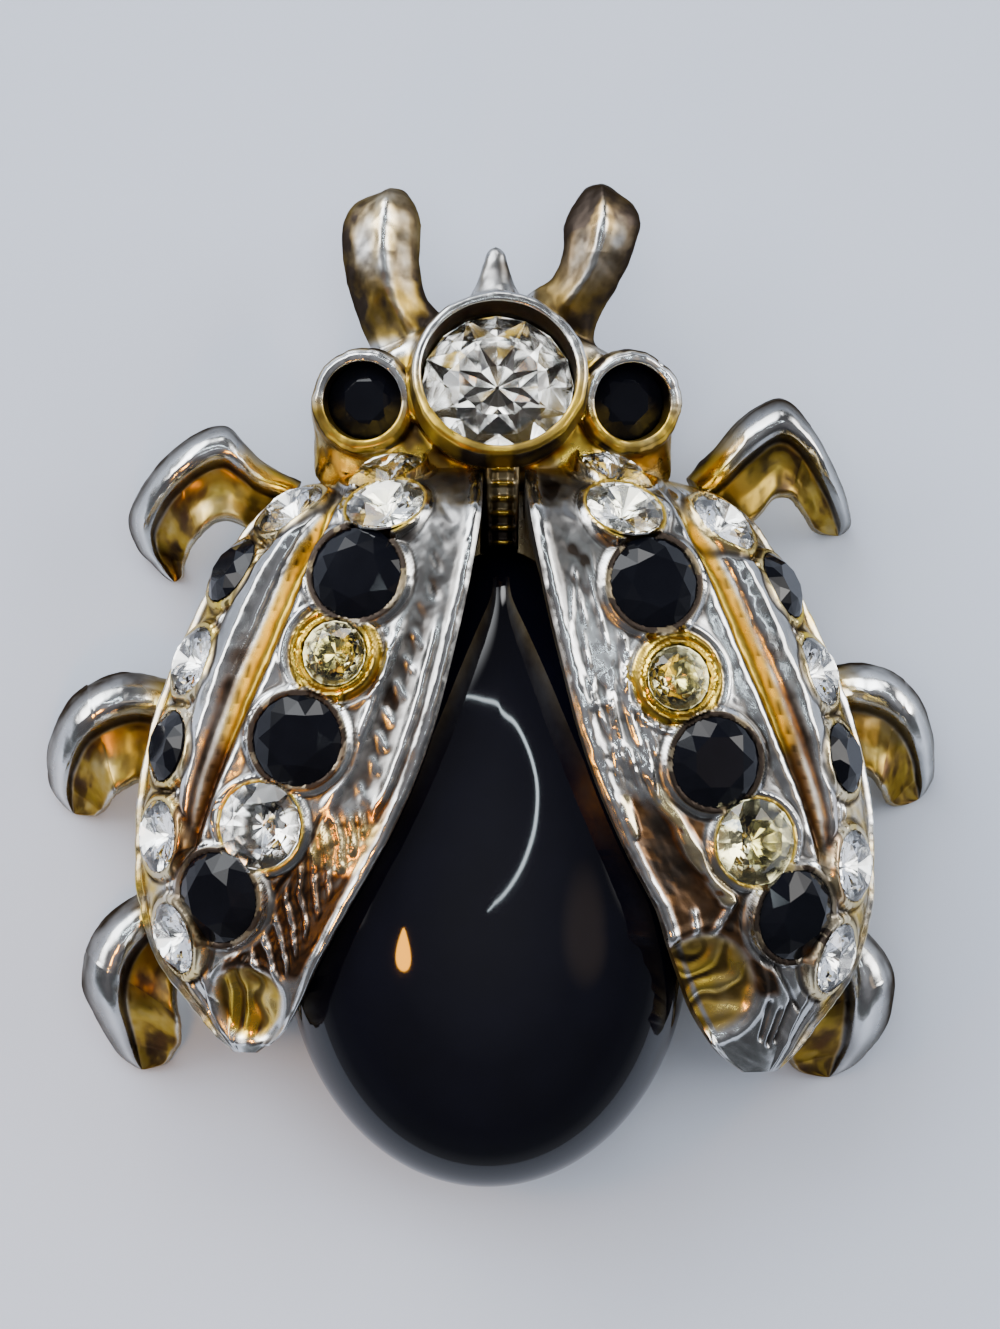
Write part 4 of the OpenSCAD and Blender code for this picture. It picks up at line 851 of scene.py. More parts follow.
def wing_masks(g, height):
    """Gilt in grooves and hollows; coppery plating with painted warm and dark reflection on the
    lower band; tarnish with painted shade in dips, grooves and seats; painted highlights on the
    crests.
    """
    v, part, scoop, on_band = g.v, g.part, g.scoop, g.on_band
    low_band = g.lower * on_band
    none = np.zeros_like(height)
    grain = mottle(g.along * 1.4, g.across * 1.4, 21)
    speck = mottle(g.along * 5, g.across * 5, 22, 2)
    from_groove = g.across - g.groove_edge
    over_rib = from_groove / np.maximum(g.foot_edge - g.groove_edge, 0.3)
    in_groove = smoothstep(-0.22, -0.05, from_groove) * (1 - smoothstep(0.14, 0.30, over_rib))
    rib_on = (1 - smoothstep(0.60, 0.72, v)) * smoothstep(0.03, 0.10, v)
    lower_groove = smoothstep(0.42, 0.52, v + 0.02 * grain)
    beyond = smoothstep(0.10, 0.35, g.across - g.foot_edge)
    beside = (1 - smoothstep(0.98, 1.10, g.whole)) * (1 - scoop)

    gold = most(none, in_groove * rib_on, 0.95 * (1 - smoothstep(-0.02, 0.12, g.hollow)),
                1 - smoothstep(0.42, 0.58, g.cup), 0.85 * scoop,
                beyond * (0.45 + 0.35 * grain), 0.8 * smoothstep(0.045, 0.015, v))
    # Coppery plating with a painted warm reflection over the lower band.
    copper_and_reflection = on_band * smoothstep(g.copper_reflection_at - 0.03, g.copper_reflection_at + 0.03, v + 0.03 * grain)
    copper_and_reflection *= (1 - smoothstep(0.855, 0.885, v)) * beside
    # Coppery plating with painted warm reflection also in the lower groove, on the rib near the
    # tail and on the inner wall's lower half.
    tail_rib = smoothstep(0.50, 0.62, v + 0.03 * grain) * (1 - smoothstep(0.70, 0.78, v))
    on_rib = smoothstep(0.12, 0.35, over_rib) * (1 - smoothstep(0.9, 1.0, over_rib))
    inner_wall = 1 - smoothstep(0.0, 0.12, g.across)
    copper_and_reflection = most(copper_and_reflection, in_groove * lower_groove * rib_on, 0.7 * tail_rib * on_rib,
                  0.6 * inner_wall * smoothstep(0.3, 0.6, v))

    if g.side == "left":
        # Left lower band: a painted highlight across its top; beneath it painted dark reflection
        # and painted shade between the bars, and painted shade in the groove near its outer border.
        lit = low_band * (1 - smoothstep(0.685, 0.72, v + 0.02 * grain + 0.03 * part))
        tarnish_and_shade = most(low_band * (1 - g.bars) * (0.95 - 0.75 * lit) * beside,
                    low_band * 0.9 * ridge(part, 0.82, 0.09))
        copper_and_reflection = copper_and_reflection * (1 - 0.75 * g.bars * (1 - lit))
    else:
        # Right lower band: painted dark reflection, broken by the painted highlight of the lit
        # streaks and by the pale bars.
        dark = 0.84 - 0.22 * smoothstep(0.1, 0.6, grain + 0.5 * speck)
        lit = g.streak * smoothstep(-0.6, 0.0, g.fine + 0.6)
        tarnish_and_shade = most(none, dark * low_band * (1 - lit) * (1 - g.pale) * beside)
        copper_and_reflection = copper_and_reflection * (1 - g.pale)
    # The painted highlight is gilt-toned and clears the coppery tone.
    gold = most(gold, 0.55 * lit)
    copper_and_reflection = copper_and_reflection * (1 - 0.85 * lit)
    edge_line = ridge(g.across, 0.30, 0.16) * smoothstep(0.30, 0.45, v)
    copper_and_reflection, gold = copper_and_reflection * (1 - edge_line), gold * (1 - 0.8 * edge_line)

    # Tarnish on the upper band, with painted shade in its trough and wave hollows; darker towards
    # the front; crests are kept clear of it.
    crest = np.clip(np.maximum(g.crest, g.strokes * g.upper), 0, 1) * g.upper * on_band
    tarnish_and_shade = most(tarnish_and_shade, g.upper * on_band * np.clip(
        0.30 * smoothstep(-0.1, -0.6, g.waves) + 0.52 * g.trough + 0.22
        + 0.40 * (1 - smoothstep(0.18, 0.34, v)), 0, 0.85))
    tarnish_and_shade = tarnish_and_shade * (1 - 0.95 * crest)
    # Painted shade: on the rib's side by the groove, in the groove, along the rib's outer foot, in
    # the channel and seats, along the channel's edge, in the scoop's grooves, at its front end and
    # round its rim, and in the tail grooves.
    shaded = ridge(over_rib, 0.33, 0.15) * smoothstep(0.28, 0.40, v + 0.04 * grain)
    shaded = shaded * (1 - smoothstep(0.62, 0.68, v))
    copper_and_reflection = most(copper_and_reflection, 0.55 * shaded)
    tarnish_and_shade = most(tarnish_and_shade, (0.34 + 0.41 * lower_groove) * in_groove * rib_on, 0.80 * shaded,
                0.55 * ridge(over_rib, 0.86, 0.12) * rib_on,
                0.55 * (1 - smoothstep(-0.10, 0.06, g.hollow)),
                0.8 * ridge(g.hollow, 0.30, 0.10) * g.in_row,
                0.75 * scoop * smoothstep(0.0, 0.9, -g.grooves),
                0.7 * scoop * smoothstep(0.1, -0.9, g.tail_part),
                0.5 * ridge(g.square, 0.95, 0.16) * g.by_tail,
                0.75 * g.strip * (1 - scoop))
    # Painted shade round the black stones and in the clear stones' seats, and round and inside the
    # outer stones' seats, with gilt round the outer ones.
    for kind, apart in zip(INNER_KINDS, g.inner):
        if kind == "black":
            tarnish_and_shade = most(tarnish_and_shade, smoothstep(0.09, 0.0, apart) * (1 - 0.25 * (grain > 0.1)))
            gold = gold * (1 - 0.5 * (apart < 0.12))
        elif kind == "clear":
            tarnish_and_shade = most(tarnish_and_shade, 0.6 * smoothstep(0.03, -0.04, apart))
    for apart in g.outer:
        tarnish_and_shade = most(tarnish_and_shade, 0.8 * ridge(apart, 0.32, 0.16), 0.85 * (apart < -0.05))
        gold = most(gold, 0.58 * (1 - smoothstep(0.15, 0.45, apart)) * (apart > -1))

    # Painted shade in the dips of the relief, and a painted highlight on its ridges, crests, bars
    # and lit streaks.
    dip = surface_dip(height)
    tarnish_and_shade = most(tarnish_and_shade, 0.70 * smoothstep(0.006, 0.040, dip) * (gold < 0.5))
    polish_and_highlight = smoothstep(0.004, 0.035, -dip) * (0.9 - 0.5 * smoothstep(0.2, 0.05, v))
    if g.side == "left":
        polish_and_highlight = most(polish_and_highlight, 0.95 * lit * (0.5 + 0.5 * g.bars), 0.6 * g.bars * low_band)
    polish_and_highlight = most(polish_and_highlight, 0.95 * crest, 0.95 * lit * (g.side == "right"))
    polish_and_highlight = polish_and_highlight * (1 - tarnish_and_shade) * (1 - 0.6 * smoothstep(0.3, 0.7, gold))
    return np.stack([gold, copper_and_reflection, tarnish_and_shade, polish_and_highlight], axis=-1)


def wing_faces():
    """Faces of a wing case: upper grid, lower grid, and the walls that join them."""
    rows, columns, fewer = WING_ROWS, WING_COLUMNS, UNDER_COLUMNS
    corner = grid_corners(rows, columns)
    blocks = [np.stack([corner, corner + 1, corner + columns + 1, corner + columns], 1)]
    base = rows * columns
    corner = grid_corners(rows, fewer, base)
    blocks.append(np.stack([corner + fewer, corner + fewer + 1, corner + 1, corner], 1))
    r = np.arange(rows - 1)
    blocks.append(np.stack([r * columns, (r + 1) * columns, base + (r + 1) * fewer,
                            base + r * fewer], 1))
    blocks.append(np.stack([(r + 2) * columns - 1, (r + 1) * columns - 1,
                            base + (r + 1) * fewer - 1, base + (r + 2) * fewer - 1], 1))
    faces = [tuple(f) for block in blocks for f in block.tolist()]
    under = np.floor(np.arange(columns) * (fewer - 1) / (columns - 1) + 0.5).astype(int)
    last, last_under = (rows - 1) * columns, base + (rows - 1) * fewer
    for k in range(columns - 1):
        faces.append((k + 1, k, base + under[k]))
        faces.append((last + k, last + k + 1, last_under + under[k + 1]))
        if under[k + 1] > under[k]:
            faces.append((k + 1, base + under[k], base + under[k + 1]))
            faces.append((last + k, last_under + under[k + 1], last_under + under[k]))
    return faces


def wing_case(side, settings, material):
    """Wing case with its relief and finish on the upper face and a plain lower face."""
    g = wing_grid(side)
    height = station_relief(g, settings) + band_relief(g, settings)
    worn = 0.026 * mottle(g.along * 1.1, g.across * 1.5, 41)
    height += g.strength * (worn + 0.012 * mottle(g.along * 2.6, g.across * 3.0, 42, 2))
    height = stone_relief(g, settings, tail_relief(g, settings, height))
    masks = wing_masks(g, height)
    upper = to_world(g.wing, g.base + g.normal * height[..., None])
    u = np.linspace(0, 1, UNDER_COLUMNS)[None, :]
    lower = to_world(g.wing, wing_under(g.wing, g.v, u))

    # both faces stay clear of the cabochon, and the lower one stays inside the wall
    dome = cabochon_height(lower[..., 0], lower[..., 1])
    lower[..., 2] = np.where(dome > 0, np.maximum(lower[..., 2], dome + 0.12), lower[..., 2])
    above = np.linspace(0, WING_COLUMNS - 1, UNDER_COLUMNS).round().astype(int)
    lower[..., 2] = np.minimum(lower[..., 2], np.maximum(upper[:, above, 2] - 0.25, S["rim_z"]))
    dome = cabochon_height(upper[..., 0], upper[..., 1])
    upper[..., 2] = np.where(dome > 0, np.maximum(upper[..., 2], dome + 0.2), upper[..., 2])
    upper[..., 2] = np.maximum(upper[..., 2], S["rim_z"] - 0.01)

    under_masks = np.tile(UNDER_PLATING, (lower.shape[0] * lower.shape[1], 1))
    return new_piece(side + "_wing_case_cast",
                     np.concatenate([upper.reshape(-1, 3), lower.reshape(-1, 3)]), wing_faces(),
                     [side + "_wing_case"], material,
                     np.concatenate([masks.reshape(-1, 4), under_masks]), 50)


# Sweeps: legs and antennae
def along_rows(table, count):
    """Smooth rows between those of a table, evenly spread by row."""
    table = np.asarray(table, float)
    keyed = np.column_stack([np.arange(len(table)), table])
    t = np.linspace(0, len(table) - 1, count)
    return np.stack([smooth_column(keyed, k + 1, t) for k in range(table.shape[1])], 1)


def closed_section(section, count, crest):
    """Smooth closed outline through the points of a section, kept sharper at its crest."""
    n = len(section)
    t = np.linspace(0, n, count, endpoint=False)
    i = np.floor(t).astype(int)
    f = (t - i)[:, None]
    p0, p1, p2, p3 = (section[(i + k) % n] for k in (-1, 0, 1, 2))
    smooth = 0.5 * (2 * p1 + (p2 - p0) * f + (2 * p0 - 5 * p1 + 4 * p2 - p3) * f ** 2
                    + (3 * p1 - p0 - 3 * p2 + p3) * f ** 3)
    straight = p1 * (1 - f) + p2 * f
    return smooth * (1 - 0.3 * crest) + straight * 0.3 * crest


def sweep(rows, section, size, height, thickness, origin, mirror, waves, seed):
    """Closed sweep between two rails with a rounded end: points, faces, stations, waves."""
    count, m = len(rows), len(section)
    t = np.linspace(0, 1, count)
    outer, inner = rows[:, 0:2] * size, rows[:, 2:4] * size
    top = rows[:, 4] * height
    low = np.maximum(0, top - thickness)
    across = section[None, :, 0:1]
    xy = outer[:, None, :] + (inner - outer)[:, None, :] * across
    z = low[:, None] + (top - low)[:, None] * section[None, :, 1]
    points = np.concatenate([xy, z[..., None]], axis=-1)
    centre = points.mean(axis=1, keepdims=True)
    fall = np.clip((t - (1 - SWEEP_END)) / SWEEP_END, 0, 1)
    close = np.sqrt(np.clip(1 - fall ** 2, 0.02, 1))
    centre[..., 2] = np.where((t > 0.5)[:, None], np.minimum(centre[..., 2], 0.5 * top[:, None]),
                              centre[..., 2])
    points = centre + (points - centre) * close[:, None, None]
    run = np.cumsum(np.concatenate([[0], np.linalg.norm(np.diff(centre[:, 0], axis=0), axis=1)]))
    turn = 2 * np.pi * np.linspace(0, 1, m, endpoint=False)
    bump = mottle(run[:, None] * 1.3 + 40,
                  6 * np.sin(turn)[None, :] * 0.5 + 3 * np.cos(turn)[None, :] * 0.5, seed)
    outward = points - centre
    outward /= np.maximum(np.linalg.norm(outward, axis=-1, keepdims=True), 1e-6)
    points = points + outward * (bump * waves)[..., None]
    points[..., 2] = np.maximum(points[..., 2], 0)
    points[..., 0] *= mirror
    faces = []
    for i in range(count - 1):
        a = i * m + np.arange(m)
        b = i * m + (np.arange(m) + 1) % m
        faces += [tuple(f) for f in np.stack([a, a + m, b + m, b], 1).tolist()]
    return points + origin, faces + end_caps(count, m), t, bump


def leg(name, settings, material):
    """Crescent leg with a gilt hollow inside its ridge; the ridge's brightness is partly a painted
    highlight.
    """
    side, root, size, table = LEGS[name]
    wing = WINGS[side]
    rim = wing_point(wing, np.array(root), np.array(1.0))
    origin = to_world(wing, np.array([rim[0], rim[1], 0.0]))
    section = closed_section(LEG_SECTION, LEG_POINTS, settings.crest)
    points, faces, t, bump = sweep(
        along_rows(table, LEG_ROWS), section, size, LEG_HEIGHT, LEG_THICKNESS, origin,
        wing["mirror"], settings.mottle / MM, 50 + list(LEGS).index(name))
    across, up = section[None, :, 0], section[None, :, 1]
    t = t[:, None]
    hollow = smoothstep(0.42, 0.50, across) * smoothstep(0.2, 0.3, up)
    hollow = hollow * (1 - smoothstep(0.93, 0.99, across))
    step = ridge(across, 0.44, 0.07) * (up > 0.3)
    under = 1 - smoothstep(0.12, 0.28, up)
    slope = 1 - smoothstep(0.05, 0.22, across)
    gold = most(hollow * (0.94 + 0.12 * bump), 0.75 * under,
                (1 - smoothstep(0.10, 0.30, t)) * (0.85 + 0.3 * bump),
                0.55 * smoothstep(0.93, 1.0, across))
    copper_and_reflection = hollow * smoothstep(0.20, 0.5, t) * (0.50 + 0.45 * bump)
    # Tarnish with painted shade along the step, in the hollow and underneath, and painted dark
    # reflection on the outer slope.
    tarnish_and_shade = most(0.75 * step, hollow * smoothstep(0.15, 0.6, bump + 0.35 * t) * 0.6,
                (0.60 + 0.30 * (1 - smoothstep(0.0, 0.10, across))) * slope * (0.92 + 0.3 * bump),
                hollow * (0.48 + 0.25 * smoothstep(-0.2, 0.5, bump)), 0.35 * under)
    # Painted highlight along the ridge, with lower roughness.
    polish_and_highlight = 0.8 * ridge(across, 0.27, 0.09) * (up > 0.5) * np.ones_like(t)
    masks = np.stack(np.broadcast_arrays(gold, copper_and_reflection, tarnish_and_shade, polish_and_highlight), -1).reshape(-1, 4)
    return new_piece(name, points.reshape(-1, 3), faces, ["body_casting"],
                     material, masks, 60)


# Head
def turned(points, degrees_x, degrees_y, place):
    """Turns points about X then Y, as the bezels lean, and moves them to a place."""
    a, b = math.radians(degrees_x), math.radians(degrees_y)
    about_x = np.array([[1, 0, 0], [0, math.cos(a), -math.sin(a)], [0, math.sin(a), math.cos(a)]])
    about_y = np.array([[math.cos(b), 0, math.sin(b)], [0, 1, 0], [-math.sin(b), 0, math.cos(b)]])
    return np.asarray(points) @ (about_y @ about_x).T + np.asarray(place)


def head_frame(points):
    return turned(points, -S["head_lean"], 0, (0, S["head_y"], S["head_rim_z"]))


def eye_frame(points, side):
    return turned(points, S["eye_lean"] / 2, side * S["eye_lean"],
                  (side * S["eye_spread"], S["eye_y"], S["eye_rim_z"]))


def circle(radius, z, count=48, x=0, y=0):
    a = np.linspace(0, 2 * np.pi, count, endpoint=False)
    return np.stack([radius * np.cos(a) + x, radius * np.sin(a) + y, np.full(count, z)], 1)


def add_hull(work, points):
    """Adds the convex hull of some points to a bmesh."""
    part = bmesh.new()
    for p in np.concatenate(points) * MM:
        part.verts.new(p)
    found = bmesh.ops.convex_hull(part, input=part.verts)
    loose = {g for g in found["geom_interior"] + found["geom_unused"]
             if isinstance(g, bmesh.types.BMVert)}
    bmesh.ops.delete(part, geom=list(loose), context="VERTS")
    mesh = bpy.data.meshes.new("hull")
    part.to_mesh(mesh)
    part.free()
    work.from_mesh(mesh)
    bpy.data.meshes.remove(mesh)


def add_closed(work, points, faces):
    mesh = bpy.data.meshes.new("closed")
    mesh.from_pydata((points.reshape(-1, 3) * MM).tolist(), [], faces)
    work.from_mesh(mesh)
    bpy.data.meshes.remove(mesh)


def cut_from(piece, points):
    """Cuts the convex hull of some points out of a piece."""
    work = bmesh.new()
    add_hull(work, points)
    cutter = link_work("cutter", work)
    add_boolean(piece, "DIFFERENCE", cutter)
    apply_modifiers(piece)
    mesh = cutter.data
    bpy.data.objects.remove(cutter)
    bpy.data.meshes.remove(mesh)


def add_cups_and_collar(work):
    """The cup under each stone of the head, and the collar that joins them."""
    low, high, head_y, eye_y = S["plate_bottom"], S["collar_z"], S["head_y"], S["eye_y"]
    r = S["crystal"] / 2 + S["stone_gap"] + S["head_wall"]
    add_hull(work, [head_frame(circle(r - 0.05, -0.10)), head_frame(circle(r, -S["crystal_depth"])),
                    circle(r, low, y=head_y), circle(r, S["plate_top"], y=head_y)])
    r = S["eye"] / 2 + S["stone_gap"] + S["eye_wall"]
    for side in (-1, 1):
        x = side * S["eye_spread"]
        add_hull(work, [eye_frame(circle(r - 0.04, -0.10, 40), side),
                        eye_frame(circle(r, -0.8, 40), side), circle(r, low, 40, x, eye_y)])
        add_hull(work, [
            circle(S["crystal"] / 2, low, 32, 0, head_y),
            circle(S["crystal"] / 2, high, 32, 0, head_y),
            circle(1.6, low, 32, x, eye_y), circle(1.2, high - 0.3, 32, x, eye_y),
            circle(0.5, low, 20, side * (S["shoulder"] - 0.3), 7.0),
            circle(0.2, high - 1.5, 20, side * (S["shoulder"] - 0.8), 7.3),
            circle(0.5, low, 20, 0, 6.7), circle(0.5, high, 20, 0, 6.7)])


def add_horn(work):
    """Short horn with a rounded end in front of the head crystal."""
    front = S["head_y"] + S["crystal"] / 2 + S["head_wall"]
    rings = []
    for k in range(HORN_RINGS):
        t = k / (HORN_RINGS - 1)
        radius = 0.35 + 1.05 * (1 - t) ** 2.0
        radius *= math.sqrt(max(0.02, 1 - max(0, (t - 0.85) / 0.15) ** 2))
        ring = circle(radius, 0, HORN_POINTS)
        rings.append(np.stack([ring[:, 0], np.full(HORN_POINTS, front - 0.75 + t * 2.42),
                               4.75 + 0.9 * ring[:, 1]], 1))
    faces = ring_faces(HORN_RINGS, HORN_POINTS) + end_caps(HORN_RINGS, HORN_POINTS)
    add_closed(work, np.stack(rings), faces)


def head_masks(points, n_z, dip):
    """Gold between the forms; tarnished, coppery antennae with pale beads at their tips; painted
    shade in the dips and on the antennae's sides, lower parts and far ends.
    """
    x, y, z = points.T
    wide = np.abs(x)
    grain = mottle(x * 1.1 + z, y * 1.1, 71)
    inward = smoothstep(11.6, 10.2, y + 0.25 * wide - 0.6 * grain)
    between = ridge(wide, 2.9, 1.1) * smoothstep(11.4, 10.2, y)
    feeler = smoothstep(10.9, 11.6, y) * smoothstep(1.2, 1.5, wide)
    side_low = smoothstep(4.9, 3.9, z)
    steep = smoothstep(0.985, 0.74, n_z)
    bead = ridge(grain, 0.3, 0.35) * smoothstep(5.05, 5.25, z) * smoothstep(13.4, 14.0, y)
    facet = feeler * smoothstep(5.0, 5.25, z) * (y > 14.2)
    gold = np.clip(0.70 * inward + 0.5 * between + 16 * np.clip(dip, 0, 0.04) + 0.20 * grain, 0, 1)
    gold = gold * (1 - feeler) + feeler * np.clip(
        0.12 + 0.45 * steep + 0.35 * side_low + 0.15 * grain + 0.45 * smoothstep(13.8, 12.4, y),
        0, 0.9)
    copper_and_reflection = 0.55 * inward * smoothstep(-0.1, 0.5, grain) + feeler * steep * (0.28 + 0.2 * (x > 0))
    # Painted shade in the dips and on the antennae's steep sides, lower parts and far ends; tarnish
    # elsewhere; the right antenna and the horn are darker, and the tops of the tips and the beads
    # are kept lighter.
    tarnish_and_shade = np.clip(12 * dip, 0, 0.8) + feeler * (
        0.56 + 0.12 * (x > 0) + 0.25 * steep * smoothstep(-0.5, 0.5, grain) - 0.35 * bead)
    tarnish_and_shade = tarnish_and_shade * (1 - 0.8 * facet) + 0.5 * feeler * side_low
    tarnish_and_shade = (tarnish_and_shade + 0.55 * smoothstep(15.9, 16.6, y) * feeler
            + (1 - feeler) * (0.04 + 0.34 * smoothstep(0.0, 0.6, grain)))
    tarnish_and_shade = np.clip(tarnish_and_shade + 0.3 * (wide < 0.9) * smoothstep(12.6, 13.2, y), 0, 0.85)
    return np.stack([gold, copper_and_reflection, tarnish_and_shade], 1)


def fused_head(settings, material):
    """Collar, cups, horn and antennae fused with soft hollows between them."""
    work = bmesh.new()
    add_cups_and_collar(work)
    section = closed_section(ANTENNA_SECTION, ANTENNA_POINTS, 1.0)
    for table, mirror, seed in ((RIGHT_ANTENNA, 1, 61), (LEFT_ANTENNA, -1, 62)):
        points, faces = sweep(along_rows(table, ANTENNA_ROWS), section, ANTENNA_LENGTH,
                              ANTENNA_HEIGHT, ANTENNA_THICKNESS, np.array([0, S["head_y"], 0]),
                              mirror, 0.03, seed)[:2]
        add_closed(work, points, faces)
    add_horn(work)
    piece = link_work("head_casting", work)
    fuse_and_soften(piece, settings.voxel, 30)
    r = S["crystal"] / 2 + S["stone_gap"] + 0.02
    cut_from(piece, [head_frame(circle(r, 1.0, 72)),
                     head_frame(circle(r, -S["crystal_depth"] - 0.2, 72)),
                     head_frame(circle(0.6, -2.9, 72))])
    r = S["eye"] / 2 + S["stone_gap"] + 0.02
    for side in (-1, 1):
        cut_from(piece, [eye_frame(circle(radius, z, 56), side)
                         for radius, z in ((r, 1.0), (r, -1.0), (0.3, -1.75))])
    points, normals = mesh_points(piece.data), mesh_normals(piece.data)
    worn = 0.035 * mottle(points[:, 0] * 1.3 + points[:, 2], points[:, 1] * 1.3 - points[:, 2], 72)
    inside = np.hypot(points[:, 0], points[:, 1] - S["head_y"]) < S["crystal"] / 2 + 0.4
    points = points + normals * (worn * ~inside)[:, None]
    piece.data.vertices.foreach_set("co", (points * MM).ravel())
    set_plating(piece.data, head_masks(points, normals[:, 2], hollowness(piece.data, 10)))
    finish_piece(piece, ["body_casting"], material, 45)
    return piece


def bezel(name, radius, width, depth, place, rim, material, seed):
    """Turned bezel with a rounded bright rim; place puts its points on the head."""
    r = radius + S["stone_gap"]
    outline = closed_section(np.array([
        [r + 0.005, -depth], [r, -0.20], [r + 0.01, -0.05], [r + rim * 0.35, 0.0], [r + rim, 0.0],
        [r + rim + 0.07, -0.05], [r + width, -0.22], [r + width + 0.02, -depth]]),
        BEZEL_POINTS, 1.0)
    around = np.linspace(0, 2 * np.pi, BEZEL_STEPS, endpoint=False)
    cos, sin = np.cos(around)[:, None], np.sin(around)[:, None]
    wobble = 0.045 * mottle(3 * cos + 20, 3 * sin + 20, seed)
    stain = smoothstep(-0.5, 0.5, mottle(4 * cos + 30, 4 * sin + 30, seed))
    radial = outline[:, 0] + wobble * smoothstep(r + 0.03, r + width, outline[:, 0])
    points = np.stack([radial * cos, radial * sin,
                       outline[:, 1] + 0.8 * wobble * (outline[:, 1] > -0.3)], -1)
    inside = smoothstep(r + 0.06, r + 0.01, radial)
    below = smoothstep(-0.04, -0.16, points[..., 2])
    tail = smoothstep(0.5, -0.5, sin)
    # Gilt below the rim and towards the tail side; painted shade on the inner wall below the rim
    # and on the outer wall, varied by stain; darker towards the tail side.
    gold = most(below * (0.55 + 0.4 * tail), 0.95 * tail)
    tarnish_and_shade = most(inside * smoothstep(-0.02, -0.12, points[..., 2]) * (0.95 - 0.4 * tail),
                (0.60 + 0.30 * stain) * below * (1 - inside), (0.25 + 0.40 * stain) * tail)
    masks = np.stack([gold, 0 * gold, tarnish_and_shade], -1).reshape(-1, 3)
    faces = ring_faces(BEZEL_STEPS, BEZEL_POINTS, True)
    return new_piece(name, place(points.reshape(-1, 3)), faces,
                     ["body_casting"], material, masks, 60)


def neck_ladder(material):
    """Narrow ridge between the wing cases with small bars across it."""
    nx, ny = NECK_COLUMNS, NECK_ROWS
    x = np.linspace(-0.62, 0.62, nx)[None, :]
    t = np.linspace(0, 1, ny)[:, None]
    y = S["wing_front"] + 0.25 - 3.45 * t
    crown = S["collar_z"] + 2.0 - 0.75 * t
    rungs = ridge((t * 7.2) % 1.0, 0.5, 0.30) * smoothstep(0.46, 0.26, np.abs(x))
    rails = ridge(np.abs(x), 0.44, 0.13)
    z = crown - 0.30 * smoothstep(0.12, 0.4, np.abs(x)) + 0.16 * rungs * (t < 0.93) + 0.09 * rails
    z = z + 0.03 * mottle(x * 2.5 + 9, y * 2.5 + 9, 81)
    z = z - 2.2 * smoothstep(0.53, 0.62, np.abs(x)) - 1.6 * smoothstep(0.93, 1.0, t)
    upper = np.stack(np.broadcast_arrays(x + S["seam_x"], y, z), -1)
    lower = upper.copy()
    lower[..., 2] = S["plate_top"] - 0.1
    base, c = nx * ny, grid_corners(ny, nx)
    faces = np.stack([c, c + 1, c + nx + 1, c + nx], 1).tolist()
    faces += np.stack([base + c + nx, base + c + nx + 1, base + c + 1, base + c], 1).tolist()
    edge = list(range(nx)) + [k * nx + nx - 1 for k in range(1, ny)]
    edge += list(range(base - 2, base - nx - 1, -1)) + [k * nx for k in range(ny - 2, 0, -1)]
    faces += [[a, base + a, base + b, b] for a, b in zip(edge, edge[1:] + edge[:1])]
    # Painted shade: the sunken neck is darkened between its rungs, more towards the tail, and
    # underneath; the rungs are kept lighter.
    bright = np.maximum(rungs, 0.25)
    masks = np.stack([np.clip(0.55 + 0.5 * bright, 0, 1), 0.35 * (1 - bright),
                      0.85 * (1 - bright) + 0.3 * t], -1).reshape(-1, 3)
    masks = np.concatenate([masks, np.tile([0.4, 0.3, 0.7], (base, 1))])
    return new_piece("neck_ladder", np.concatenate([upper.reshape(-1, 3), lower.reshape(-1, 3)]),
                     faces, ["body_casting"], material, masks, 50)


# Cabochon, base plate, pin and foils
def cabochon_dome(material):
    """Black pear-shaped dome over an upright edge."""
    outline = cabochon_outline(np.linspace(0, 2 * np.pi, DOME_STEPS, endpoint=False))
    apex = np.array([0, CABOCHON["apex"]])
    edge_z = S["rim_z"] + CABOCHON["edge"]
    rings = [(1 - 0.05, S["rim_z"]), (1 - 0.012, S["rim_z"] + 0.03), (1.0, S["rim_z"] + 0.12),
             (1.0, S["rim_z"] + 0.5 * CABOCHON["edge"])]
    rings += [(math.cos(a), edge_z + CABOCHON["dome"] * math.sin(a))
              for a in np.linspace(0, math.pi / 2, DOME_RINGS)[:-1]]
    points = [np.column_stack([apex + (outline - apex) * part, np.full(DOME_STEPS, z)])
              for part, z in rings]
    points = np.concatenate([*points, [[*apex, edge_z + CABOCHON["dome"]]]])
    faces, n = ring_faces(len(rings), DOME_STEPS), len(rings) * DOME_STEPS
    faces += [(n - DOME_STEPS + i, n - DOME_STEPS + (i + 1) % DOME_STEPS, n)
              for i in range(DOME_STEPS)]
    faces.append(tuple(range(DOME_STEPS - 1, -1, -1)))
    return new_piece("cabochon_dome", points + [CABOCHON["x"], CABOCHON["y"], 0], faces,
                     ["cabochon"], material, None, 60)


def plate_outline(wing):
    """Outline of the base plate under a wing case."""
    v = np.linspace(0, PLATE_SHARE, PLATE_POINTS)
    rim = wing_point(wing, v, np.ones(PLATE_POINTS))
    points = np.column_stack([rim[:, 0] - 0.3, rim[:, 1], np.zeros(PLATE_POINTS)])
    points = np.concatenate([[[-0.5, 0, 0]], points, [[-0.5, -PLATE_SHARE * wing["length"], 0]]])
    return to_world(wing, points)[:, :2]


